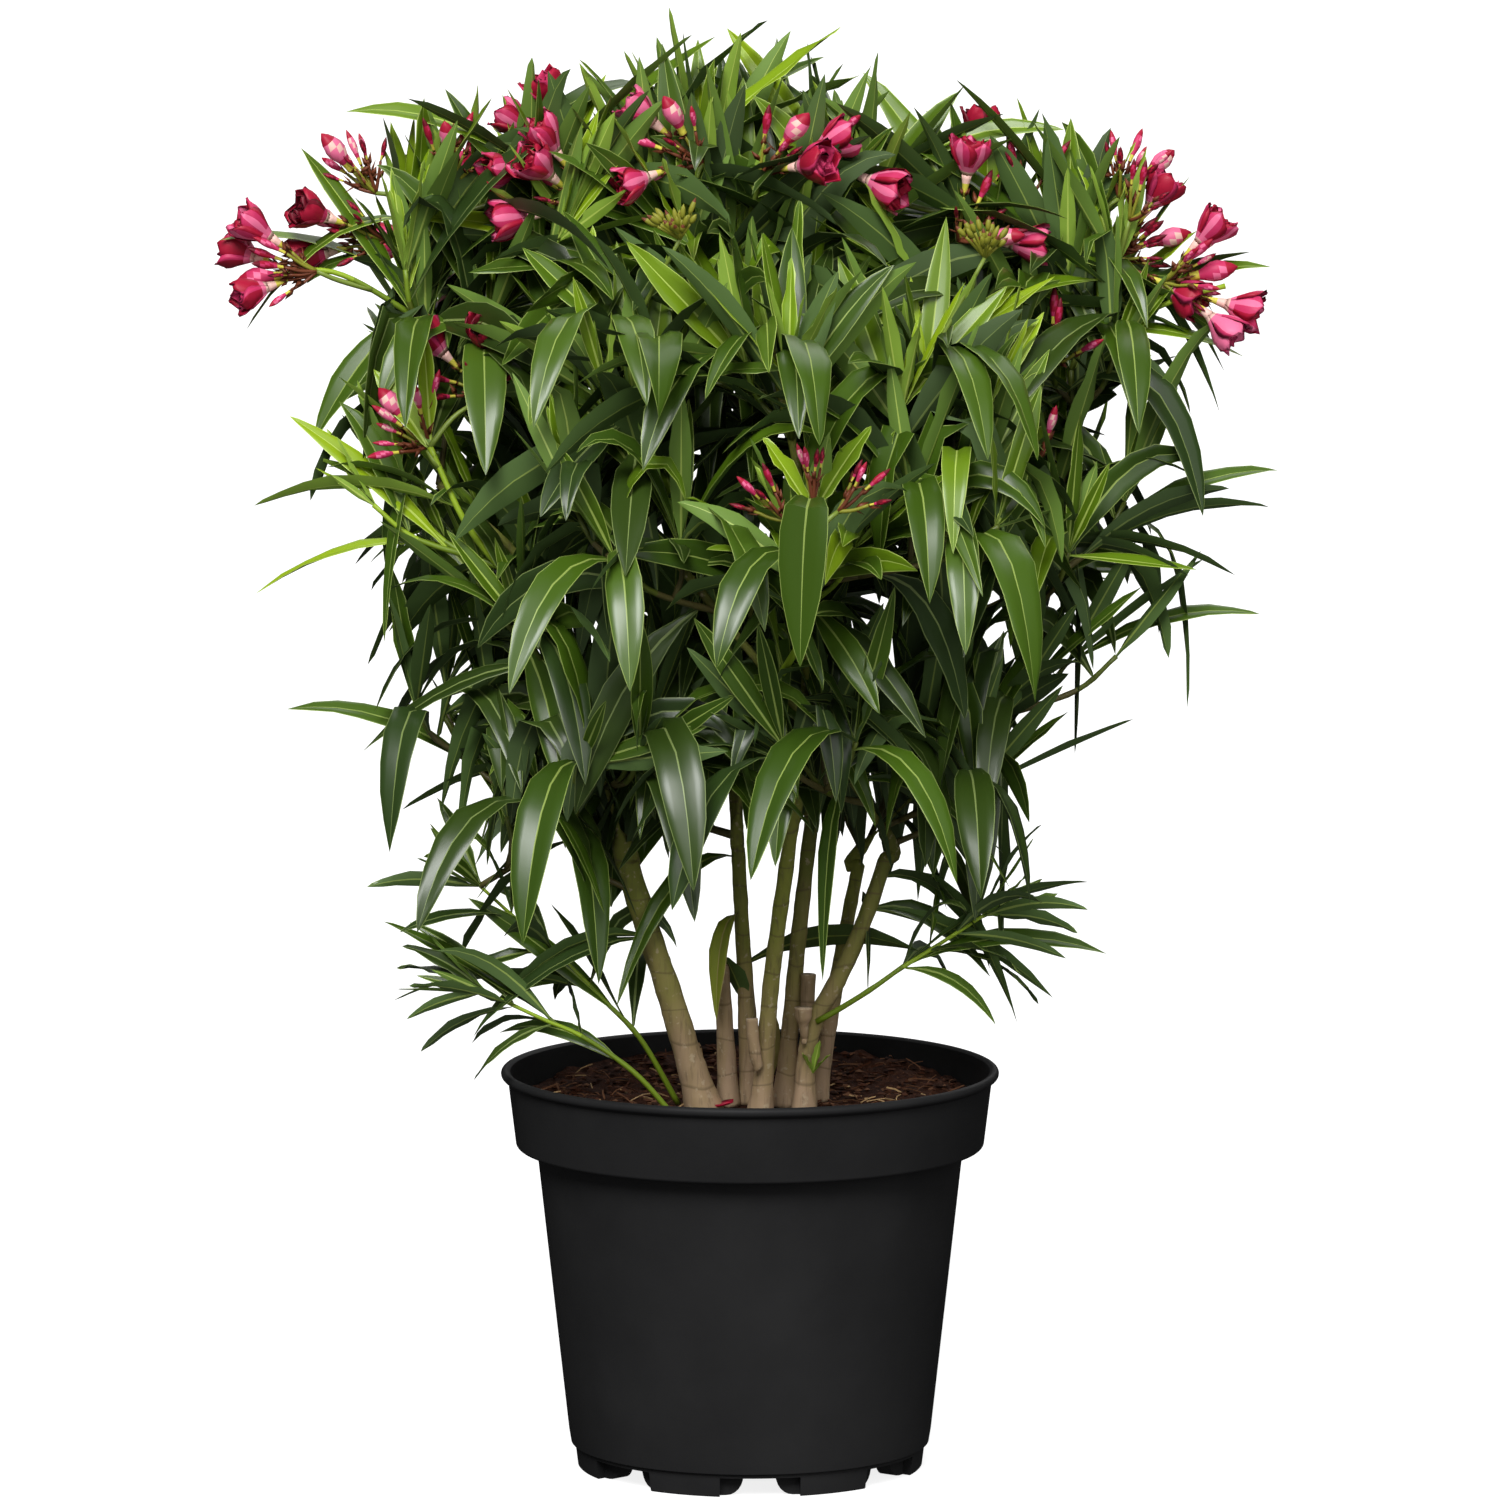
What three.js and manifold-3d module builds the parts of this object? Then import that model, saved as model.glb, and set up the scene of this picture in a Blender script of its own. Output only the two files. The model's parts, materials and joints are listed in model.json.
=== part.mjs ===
// A potted oleander: a many-stemmed shrub with red flowers in a black nursery container.
// Millimetres, +Z up. The origin is the centre of the pot's underside, and -Y is the front.
import * as THREE from 'three';
import { ConvexHull } from 'three/addons/math/ConvexHull.js';
import { mergeVertices } from 'three/addons/utils/BufferGeometryUtils.js';
import Module from 'manifold-3d';

const wasm = await Module();
wasm.setup();

// ---------------------------------------------------------------- driving dimensions
const SEAT = 0.3; // the gap that is left where one piece rests on another
const MASS_GAP = 0.6; // between two neighbouring masses of foliage

const PLANT = { side: 295, front: 260, height: 823 }; // how far the leaf tips reach from the origin

const POT = {
  height: 226.5,
  wall: 2,
  lipRadius: 140, // the rolled lip round the mouth
  lipDepth: 4,
  bandTop: 136.5, // the upright band under the lip
  bandBottom: 132,
  bandFoot: 182.5, // height of the shoulder where the band ends
  bodyTop: 119, // the tapering body under the shoulder
  bodyBottom: 102.5,
  bodyFoot: 21,
  skirtRadius: 101.3, // the edge that stands out over the foot ring
  skirt: 13.6,
  seamRadius: 99,
  seam: 12.6,
  footRadius: 97.5,
  floor: 12, // underside of the floor, above the ground
  ringInside: 80,
  segments: 44,
};
const FEET = { count: 7, turn: 3.4, notch: 45, tall: 11, arch: 18, flare: 9.5, skin: 5.5 };
const DRAIN = { radius: 7, ring: 62 };

const SOIL = { pad: 58, padTop: 203, edgeRise: 5, backRise: 9, bumps: 2, spokes: 22, clear: 0.6 };
const SOIL_RINGS = [1, 0.88, 0.74, 0.6];

const CANE_SIDES = 8;
const CANE_STEP = 24; // between two rings of a cane
const TWIG = { sides: 6, step: 15 }; // the same for shoots and stalks
const ROOT_FLARE = 0.32; // how much wider a cane is where it leaves the soil
const FLARE_REACH = 9;
const MASS_DIRECTIONS = 54;
const MASS_UNEVEN = 0.15;
const TIP_SPREAD = 0.2; // half the angle at which a leaf tip rises from its mass, in radians
const TIP_GUARDS = 4;

const COLOURS = {
  pot: [0x161616, 0.55],
  soil: [0x3a2118, 0.95],
  bark: [0x9a8a66, 0.8],
  cut: [0x8f7a5c, 0.85],
  green: [0x7d9138, 0.6],
  leaf: [0x2f5a2c, 0.6],
  young: [0x6f9a32, 0.6],
  blossom: [0xb3274b, 0.6],
};

// ---------------------------------------------------------------- helpers
function seeded(seed) {
  let state = seed >>> 0;
  return () => {
    state = (state + 0x6d2b79f5) >>> 0;
    let t = Math.imul(state ^ (state >>> 15), 1 | state);
    t = (t + Math.imul(t ^ (t >>> 7), 61 | t)) ^ t;
    return ((t ^ (t >>> 14)) >>> 0) / 4294967296;
  };
}

const smooth = (t) => {
  const k = Math.min(1, Math.max(0, t));
  return k * k * (3 - 2 * k);
};

/** A closed solid from a geometry whose faces point out. */
function solid(geometry) {
  const bare = geometry.clone();
  bare.deleteAttribute('normal');
  bare.deleteAttribute('uv');
  const merged = mergeVertices(bare, 1e-4);
  return new wasm.Manifold(
    new wasm.Mesh({
      numProp: 3,
      vertProperties: new Float32Array(merged.attributes.position.array),
      triVerts: new Uint32Array(merged.index.array),
    }),
  );
}

function geometryOf(shape) {
  const mesh = shape.getMesh();
  const geometry = new THREE.BufferGeometry();
  geometry.setAttribute('position', new THREE.BufferAttribute(new Float32Array(mesh.vertProperties), 3));
  geometry.setIndex(new THREE.BufferAttribute(new Uint32Array(mesh.triVerts), 1));
  return geometry;
}

function indexed(points, faces) {
  const geometry = new THREE.BufferGeometry();
  const flat = points.flatMap((p) => [p.x, p.y, p.z]);
  geometry.setAttribute('position', new THREE.Float32BufferAttribute(flat, 3));
  geometry.setIndex(faces.flat());
  return geometry;
}

const plant = new THREE.Group();

function add(name, geometry, [colour, roughness]) {
  const material = new THREE.MeshStandardMaterial({ color: colour, roughness, metalness: 0 });
  const mesh = new THREE.Mesh(geometry, material);
  mesh.name = name;
  plant.add(mesh);
}

// ---------------------------------------------------------------- the pot
/** A lathe of [radius, height] pairs about the upright axis. */
function turned(profile, segments) {
  const outline = profile.map(([r, z]) => new THREE.Vector2(r, z));
  return new THREE.LatheGeometry(outline, segments).rotateX(Math.PI / 2);
}

function potShell() {
  const { height, wall, lipRadius, lipDepth, bandTop, bandBottom, bandFoot } = POT;
  const { bodyTop, bodyBottom, bodyFoot, floor, ringInside } = POT;
  const { skirtRadius, skirt, seamRadius, seam, footRadius } = POT;
  return solid(
    turned(
      [
        [0, floor],
        [ringInside, floor],
        [ringInside, 0],
        [footRadius, 0],
        [seamRadius, seam],
        [skirtRadius, skirt],
        [bodyBottom, bodyFoot],
        [bodyTop, bandFoot],
        [bandBottom - 1.5, bandFoot],
        [bandBottom, bandFoot + 2],
        [bandTop, height - lipDepth],
        [lipRadius, height - lipDepth + 0.6],
        [lipRadius - 1.2, height],
        [bandTop - wall, height],
        [bandBottom - wall, bandFoot + wall],
        [bodyTop - wall, bandFoot + wall],
        [bodyBottom - wall, bodyFoot + 1],
        [seamRadius - 4, floor + wall],
        [0, floor + wall],
      ],
      POT.segments,
    ),
  );
}

/** The arch between two feet, seen from the front: narrow above, its legs rounding outward below. */
function archShape() {
  const { arch, flare, tall } = FEET;
  const half = arch / 2;
  const shape = new THREE.Shape();
  shape.moveTo(-half, tall);
  shape.quadraticCurveTo(-half, 1, -half - flare, 0);
  shape.lineTo(-half - flare, -2);
  shape.lineTo(half + flare, -2);
  shape.lineTo(half + flare, 0);
  shape.quadraticCurveTo(half, 1, half, tall);
  return shape;
}

function makePot() {
  let shell = potShell();
  const { footRadius, ringInside } = POT;
  const { count, turn, notch, tall, skin } = FEET;
  const notchDepth = skin * 2;
  for (let k = 0; k < count; k += 1) {
    const angle = THREE.MathUtils.degToRad(turn + (360 / count) * k);
    const window = new THREE.BoxGeometry(notch, notchDepth, tall + 2);
    window.translate(0, -(footRadius + 3 - notchDepth / 2), (tall - 2) / 2);
    const channel = new THREE.ExtrudeGeometry(archShape(), {
      depth: footRadius - ringInside + 4,
      bevelEnabled: false,
      curveSegments: 4,
    });
    channel.rotateX(Math.PI / 2).translate(0, -(ringInside - 2), 0);
    const drain = new THREE.CylinderGeometry(DRAIN.radius, DRAIN.radius, 3 * POT.wall, 12);
    drain.rotateX(Math.PI / 2).translate(0, -DRAIN.ring, POT.floor + POT.wall / 2);
    for (const cut of [window, channel, drain]) {
      shell = shell.subtract(solid(cut.rotateZ(angle)));
    }
  }
  add('pot', geometryOf(shell), COLOURS.pot);
}

// ---------------------------------------------------------------- the soil
/** The radius of the pot's inner face at a height. */
function potInside(z) {
  const { wall, bodyTop, bodyBottom, bodyFoot, bandFoot, bandBottom, bandTop, height } = POT;
  const low = THREE.MathUtils.mapLinear(z, bodyFoot, bandFoot, bodyBottom, bodyTop);
  const high = THREE.MathUtils.mapLinear(z, bandFoot + wall, height, bandBottom, bandTop);
  return (z < bandFoot + wall ? low : high) - wall;
}

function soilTop(x, y) {
  const away = Math.hypot(x, y) - SOIL.pad;
  const slope = SOIL.edgeRise + (y > 0 ? SOIL.backRise * (y / 120) ** 2 : 0);
  const bumps = SOIL.bumps * Math.sin(x / 11 + 1.3) * Math.cos(y / 13 - 0.4);
  return SOIL.padTop + smooth(away / 30) * (slope + bumps);
}

/** Compost from the floor to its uneven top, with a level pad in the middle where the canes stand. */
function makeSoil() {
  const { pad, padTop, spokes, clear } = SOIL;
  const floor = POT.floor + POT.wall + SEAT;
  const shoulder = POT.bandFoot + POT.wall;
  const waist = potInside(shoulder - 3) - clear;
  const side = [
    [potInside(POT.bodyFoot + 2) - 6, floor],
    [potInside(POT.bodyFoot + 2) - clear, POT.bodyFoot + 3],
    [waist, shoulder + SEAT],
    [potInside(shoulder) - clear, shoulder + SEAT],
    [potInside(padTop - 4) - clear, padTop - 4],
  ];
  const points = [new THREE.Vector3(0, 0, floor)];
  const ring = (radius, height) => {
    for (let k = 0; k < spokes; k += 1) {
      const angle = (2 * Math.PI * k) / spokes;
      const [x, y] = [radius * Math.cos(angle), radius * Math.sin(angle)];
      points.push(new THREE.Vector3(x, y, height ?? soilTop(x, y)));
    }
  };
  side.forEach(([radius, height]) => ring(radius, height));
  const edge = potInside(padTop) - clear;
  SOIL_RINGS.forEach((share) => ring(edge * share));
  ring(pad, padTop);
  points.push(new THREE.Vector3(0, 0, padTop));

  const faces = [];
  const rings = side.length + SOIL_RINGS.length + 1;
  const at = (r, k) => 1 + r * spokes + (k % spokes);
  for (let k = 0; k < spokes; k += 1) {
    faces.push([0, at(0, k + 1), at(0, k)], [points.length - 1, at(rings - 1, k), at(rings - 1, k + 1)]);
    for (let r = 0; r + 1 < rings; r += 1) {
      faces.push([at(r, k), at(r, k + 1), at(r + 1, k + 1)], [at(r, k), at(r + 1, k + 1), at(r + 1, k)]);
    }
  }
  add('soil', indexed(points, faces), COLOURS.soil);
}

// ---------------------------------------------------------------- canes, stubs and stalks
/** A tapering limb through the given points. radii are at those points, and extra grows it all round. */
function limb({ path, radii, flare = 0, sides = CANE_SIDES, step = CANE_STEP }, extra = 0) {
  const curve = new THREE.CatmullRomCurve3(path.map((p) => new THREE.Vector3(...p)));
  const length = curve.getLength();
  const rings = Math.max(3, Math.round(length / step));
  const frames = curve.computeFrenetFrames(rings, false);
  const onSoil = flare > 0;
  const points = [];
  const faces = [];
  for (let i = 0; i <= rings; i += 1) {
    const along = i / rings;
    const centre = curve.getPointAt(along);
    const place = along * (radii.length - 1);
    const low = Math.min(Math.floor(place), radii.length - 2);
    const taper = THREE.MathUtils.lerp(radii[low], radii[low + 1], place - low);
    const radius = taper * (1 + flare * Math.exp((-along * length) / FLARE_REACH)) + extra;
    let [across, up] = [frames.normals[i], frames.binormals[i]];
    if (onSoil && i === 0) {
      across = across.clone().setZ(0).normalize();
      up = new THREE.Vector3(0, 0, 1).cross(across);
    }
    for (let k = 0; k < sides; k += 1) {
      const angle = (2 * Math.PI * k) / sides;
      const out = across.clone().multiplyScalar(Math.cos(angle)).addScaledVector(up, Math.sin(angle));
      points.push(centre.clone().addScaledVector(out, radius));
    }
  }
  const at = (i, k) => i * sides + (k % sides);
  for (let k = 0; k < sides; k += 1) {
    for (let i = 0; i < rings; i += 1) {
      faces.push([at(i, k), at(i, k + 1), at(i + 1, k + 1)], [at(i, k), at(i + 1, k + 1), at(i + 1, k)]);
    }
    if (k > 0 && k + 1 < sides) {
      faces.push([at(0, 0), at(0, k + 1), at(0, k)], [at(rings, 0), at(rings, k), at(rings, k + 1)]);
    }
  }
  return solid(indexed(points, faces));
}

const FOOT = SOIL.padTop + SEAT;

// Each cane stands on the soil and leans out to where the foliage takes it in.
const CANES = [
  {
    name: 'cane_left',
    path: [[-26, -10, FOOT], [-45, -12, 270], [-60, -14, 315], [-90, -18, 420]],
    radii: [8.8, 7.3, 7, 6],
  },
  { name: 'cane_centre', path: [[0, 17, FOOT], [-4, 14, 295], [-10, 8, 415]], radii: [5.4, 4.3, 3.6] },
  {
    name: 'cane_front',
    path: [[6, -17, FOOT], [12, -26, 280], [20, -42, 345], [30, -60, 415]],
    radii: [6, 4.9, 4.4, 3.8],
  },
  { name: 'cane_back', path: [[3, 42, FOOT], [-5, 52, 305], [-10, 70, 420]], radii: [5, 4.2, 3.6] },
  {
    name: 'cane_centre_right',
    path: [[19, 8, FOOT], [26, 11, 285], [38, 18, 395]],
    radii: [5.6, 4.7, 4],
  },
  {
    name: 'cane_right',
    path: [[30, -14, FOOT], [35, -15, 255], [50, -17, 280], [75, -20, 345], [90, -22, 420]],
    radii: [5.8, 5.4, 4.6, 4.2, 3.6],
  },
  { name: 'cane_back_right', path: [[38, 26, FOOT], [54, 32, 300], [76, 40, 405]], radii: [5, 4.1, 3.4] },
];

// Old canes that were cut back, standing among the live ones.
const STUBS = [
  {
    name: 'stub_left',
    path: [[-12, 10, FOOT], [-14, 10, 245], [-16, 10, 285]],
    radii: [5.8, 5.4, 4.3],
    flare: 0.2,
  },
  {
    name: 'stub_right',
    path: [[33, 7, FOOT], [32, 6, 240], [33, 4, 280]],
    radii: [4.3, 4.2, 4.4],
    flare: 0.2,
  },
];
const KNOBS = [
  {
    name: 'stub_front',
    on: 'cane_front',
    path: [[5, -27, 230], [2, -29, 245], [1, -29, 260]],
    radii: [3.4, 3.6, 3.5],
  },
  {
    name: 'stub_fork',
    on: 'cane_right',
    path: [[31, -19, 245], [30, -22, 255], [30, -23, 265]],
    radii: [4.6, 5, 5.2],
  },
];

// Young side shoots: two lie low over the left of the rim, one leaves the right cane.
const SHOOTS = [
  {
    name: 'low_shoot_left_front',
    path: [[-45, -28, FOOT], [-60, -34, 225], [-85, -38, 245], [-140, -42, 275]],
    radii: [2.6, 2.4, 2.3, 1.8],
    flare: 0.2,
  },
  {
    name: 'low_shoot_left_back',
    path: [[-42, 6, FOOT], [-55, -4, 235], [-95, -14, 280], [-125, -18, 310]],
    radii: [2.5, 2.4, 2, 1.8],
    flare: 0.2,
  },
  {
    name: 'low_shoot_right',
    on: 'cane_right',
    path: [[36, -17, 255], [60, -27, 270], [95, -29, 295], [120, -28, 310]],
    radii: [2.7, 2.5, 2.2, 1.8],
  },
];

// Bare flower stalks that reach out of the crown on each side.
const STALKS = [
  { name: 'flower_stalk_left', path: [[-165, -14, 680], [-205, -18, 675], [-260, -20, 680]] },
  { name: 'flower_stalk_right', path: [[165, -14, 640], [205, -18, 650], [255, -20, 670]] },
];
const STALK_RADII = [2.8, 2.4, 2];

// ---------------------------------------------------------------- the masses of foliage
const { side: SIDE, front: FRONT, height: TOP } = PLANT;

// centre, half sizes and the furthest leaf tips that the mass reaches.
const MASSES = [
  // the top of the crown
  ['top_centre', [-30, 0, 735], [55, 80, 60], [[-45, 5, TOP], [-5, -10, 810], [-70, -15, 800]], 'young'],
  ['top_left', [-105, -10, 730], [55, 75, 50], [[-150, 0, 770], [-95, -10, 795]], 'blossom'],
  ['top_right', [40, 10, 730], [50, 80, 55], [[30, 20, 800], [70, 10, 785]], 'young'],
  ['shoulder_right', [110, 0, 705], [50, 85, 50], [[100, 5, 770], [145, 0, 755]], 'leaf'],
  ['upper_left', [-175, -5, 700], [55, 80, 45], [[-225, 0, 765], [-180, -10, 770], [-250, 0, 745]], 'blossom'],
  ['upper_right', [190, 0, 690], [55, 80, 50], [[175, 0, 755], [200, -10, 750], [245, -5, 730]], 'blossom'],
  ['flower_arm_left', [-265, -20, 675], [25, 20, 20], [[-SIDE, -20, 695], [-280, -25, 645]], 'blossom'],
  ['flower_arm_right', [260, -20, 670], [30, 20, 20], [[290, -20, 680], [275, -20, 630]], 'blossom'],
  // the upper crown
  ['left_upper', [-160, -5, 630], [60, 80, 45], [[-235, -10, 600], [-215, 20, 655]], 'leaf'],
  ['front_left_upper', [-70, -105, 650], [60, 85, 60], [[-95, -200, 630]], 'leaf'],
  ['front_upper', [10, -125, 655], [55, 90, 60], [[10, -225, 640]], 'leaf'],
  ['front_right_upper', [95, -105, 640], [60, 85, 60], [[110, -205, 615]], 'leaf'],
  ['right_upper', [170, -5, 625], [65, 85, 45], [[275, 0, 615], [285, -10, 590]], 'leaf'],
  // the middle of the crown
  [
    'left_bud_arm',
    [-185, -45, 560],
    [50, 50, 40],
    [[-230, -50, 625], [-255, -50, 600], [-275, -50, 550], [-275, -45, 500]],
    'young',
  ],
  ['left_middle', [-125, -50, 505], [65, 85, 50], [[-205, -70, 475]], 'leaf'],
  ['front_left', [-60, -150, 555], [65, 85, 60], [[-85, -240, 525]], 'leaf'],
  ['front_bud_spray', [35, -160, 550], [45, 75, 50], [[30, -195, 595], [40, -FRONT, 530]], 'young'],
  ['front_right', [105, -135, 550], [60, 85, 60], [[125, -230, 520]], 'leaf'],
  ['right_middle', [165, -20, 535], [70, 90, 55], [[SIDE, -5, 565], [290, -10, 545], [270, -40, 510]], 'leaf'],
  // the lower crown and what droops from it
  ['left_low', [-165, -10, 435], [45, 65, 50], [[-260, 0, 430], [-195, -15, 375], [-175, -20, 360]], 'leaf'],
  ['left_droop', [-110, -30, 385], [50, 65, 60], [[-155, -40, 325], [-85, -25, 305], [-120, -20, 315]], 'leaf'],
  ['front_left_droop', [-60, -110, 430], [50, 80, 65], [[-80, -110, 330], [-65, -185, 405]], 'leaf'],
  ['front_droop', [40, -120, 435], [50, 75, 75], [[40, -125, 295], [50, -195, 415]], 'leaf'],
  ['right_droop', [110, -40, 410], [50, 70, 65], [[145, -45, 335], [110, -40, 320], [110, -120, 375]], 'leaf'],
  [
    'right_low',
    [165, 0, 455],
    [50, 80, 45],
    [[285, -10, 485], [265, -10, 460], [245, 0, 430], [155, -10, 380]],
    'leaf',
  ],
  [
    'low_sprig_left',
    [-135, -35, 285],
    [55, 20, 30],
    [[-205, -35, 315], [-200, -35, 270], [-155, -40, 250], [-170, -25, 350]],
    'leaf',
  ],
  [
    'low_sprig_right',
    [135, -25, 300],
    [40, 20, 20],
    [[200, -25, 295], [190, -20, 335], [150, -25, 255], [170, -25, 270]],
    'leaf',
  ],
  // the heart and the back of the crown
  ['heart_upper', [0, 0, 630], [100, 70, 65], [], 'leaf'],
  ['heart_lower', [0, -5, 460], [90, 75, 90], [[-20, -50, 315], [15, -30, 340], [-40, -20, 325]], 'leaf'],
  ['back_top', [-5, 120, 690], [95, 85, 65], [[20, 130, 765], [-60, 170, 725]], 'leaf'],
  ['back_left_upper', [-130, 120, 640], [85, 85, 70], [[-175, 195, 680], [-220, 150, 630]], 'blossom'],
  ['back_right_upper', [130, 120, 635], [85, 85, 70], [[165, 205, 670], [220, 150, 620]], 'leaf'],
  ['back_middle', [0, 165, 580], [90, 80, 75], [[0, FRONT, 560]], 'leaf'],
  ['back_left', [-140, 120, 510], [85, 90, 65], [[-235, 160, 490], [-150, 220, 475]], 'leaf'],
  ['back_right', [140, 120, 505], [85, 90, 65], [[235, 165, 485], [145, 225, 470]], 'leaf'],
  ['back_low', [0, 145, 460], [85, 80, 60], [[-20, 240, 420]], 'leaf'],
  ['back_droop_left', [-70, 65, 390], [60, 65, 60], [[-90, 110, 315], [-60, 40, 320]], 'leaf'],
  ['back_droop_right', [75, 70, 390], [60, 65, 60], [[95, 115, 320], [95, 40, 315]], 'leaf'],
].map(([name, centre, half, tips, colour], number) => ({
  name,
  centre: new THREE.Vector3(...centre),
  half: new THREE.Vector3(...half),
  tips: tips.map((tip) => new THREE.Vector3(...tip)),
  colour: COLOURS[colour],
  seed: 101 + 17 * number,
}));

/** How far an ellipsoid of these half sizes reaches along a direction, as seen by a flat plane. */
const support = (half, direction) => half.clone().multiply(direction).length();

/** Directions spread evenly over a sphere. */
function spread(count) {
  const golden = Math.PI * (3 - Math.sqrt(5));
  return Array.from({ length: count }, (_, k) => {
    const z = 1 - (2 * k + 1) / count;
    const flat = Math.sqrt(1 - z * z);
    return new THREE.Vector3(flat * Math.cos(golden * k), flat * Math.sin(golden * k), z);
  });
}

/** A few directions in a ring round one, which keep a leaf tip slender. */
function around(way) {
  const side = new THREE.Vector3(0.3, 0.5, 0.8).cross(way).normalize();
  return Array.from({ length: TIP_GUARDS }, (_, k) => {
    const turnedSide = side.clone().applyAxisAngle(way, (2 * Math.PI * k) / TIP_GUARDS);
    return way.clone().applyAxisAngle(turnedSide, TIP_SPREAD);
  });
}

const apartFrom = (ways, direction, angle) => ways.every((way) => way.angleTo(direction) > angle);

/** The planes that part a mass from all the others, each as a direction and a distance from its centre. */
function partings(mass) {
  return MASSES.filter((other) => other !== mass).map((other) => {
    const towards = other.centre.clone().sub(mass.centre);
    const apart = towards.length();
    const direction = towards.divideScalar(apart);
    const own = support(mass.half, direction);
    const share = own / (own + support(other.half, direction));
    return { direction, distance: apart * share - MASS_GAP / 2 };
  });
}

/** One closed, uneven body round its centre. extra grows it all round. */
function massBody(mass, extra = 0) {
  const random = seeded(mass.seed);
  const waves = Array.from({ length: 5 }, () => ({
    axis: new THREE.Vector3(random() - 0.5, random() - 0.5, random() - 0.5).normalize(),
    pitch: 3 + 4 * random(),
    phase: 2 * Math.PI * random(),
  }));
  const uneven = (d) => waves.reduce((sum, w) => sum + Math.sin(w.pitch * d.dot(w.axis) + w.phase), 0);
  const tips = mass.tips.map((tip) => tip.clone().sub(mass.centre));
  const tipWays = tips.map((tip) => tip.clone().normalize());
  const guards = tipWays.flatMap(around).filter((way) => apartFrom(tipWays, way, 0.8 * TIP_SPREAD));
  const even = spread(MASS_DIRECTIONS).filter((way) => apartFrom(tipWays, way, 1.6 * TIP_SPREAD));
  const ways = [...even, ...guards, ...tipWays];
  const firstTip = even.length + guards.length;
  const planes = partings(mass);
  const points = ways.map((way, k) => {
    const swell = 1 + (MASS_UNEVEN * uneven(way)) / 2;
    let reach = swell / new THREE.Vector3().copy(way).divide(mass.half).length();
    if (k >= firstTip) {
      reach = tips[k - firstTip].length();
    }
    for (const { direction, distance } of planes) {
      const slant = way.dot(direction);
      if (slant > 0) {
        reach = Math.min(reach, distance / slant);
      }
    }
    return mass.centre.clone().addScaledVector(way, reach + extra);
  });
  const number = new Map(ways.map((way, k) => [way, k]));
  const faces = new ConvexHull().setFromPoints(ways).faces.map((face) => {
    const corners = [];
    let edge = face.edge;
    do {
      corners.push(number.get(edge.head().point));
      edge = edge.next;
    } while (edge !== face.edge);
    return corners;
  });
  return solid(indexed(points, faces));
}

// ---------------------------------------------------------------- assembly
/** What is left of a limb outside the other solids, from its lowest point up. */
function outside(shape, others) {
  const pieces = others.reduce((rest, other) => rest.subtract(other), shape).decompose();
  const low = (piece) => piece.boundingBox().min[2];
  return pieces.reduce((best, piece) => (low(piece) < low(best) ? piece : best));
}

/** The stretch of a stalk between two masses: the largest piece that is left. */
function between(shape, others) {
  const pieces = others.reduce((rest, other) => rest.subtract(other), shape).decompose();
  return pieces.reduce((best, piece) => (piece.volume() > best.volume() ? piece : best));
}

makePot();
makeSoil();

const grown = MASSES.map((mass) => massBody(mass, SEAT));
const canes = new Map(CANES.map((cane) => [cane.name, { flare: ROOT_FLARE, ...cane }]));

for (const cane of canes.values()) {
  add(cane.name, geometryOf(outside(limb(cane), grown)), COLOURS.bark);
}
for (const stub of STUBS) {
  add(stub.name, geometryOf(limb(stub)), COLOURS.cut);
}
for (const knob of KNOBS) {
  add(knob.name, geometryOf(between(limb(knob), [limb(canes.get(knob.on), SEAT)])), COLOURS.cut);
}
for (const shoot of SHOOTS) {
  const carriers = shoot.on ? [limb(canes.get(shoot.on), SEAT)] : [];
  const shape = limb({ ...shoot, ...TWIG });
  add(shoot.name, geometryOf(between(shape, [...carriers, ...grown])), COLOURS.green);
}
for (const stalk of STALKS) {
  const shape = limb({ ...stalk, ...TWIG, radii: STALK_RADII });
  add(stalk.name, geometryOf(between(shape, grown)), COLOURS.green);
}
for (const mass of MASSES) {
  add(mass.name, geometryOf(massBody(mass)), mass.colour);
}

export default plant;
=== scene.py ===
"""A potted oleander: stems, whorled leaves and red blossom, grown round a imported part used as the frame."""
import json
import math
import random

import bmesh
import bpy
import numpy as np
from mathutils import Matrix, Vector, noise
from mathutils.bvhtree import BVHTree


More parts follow.
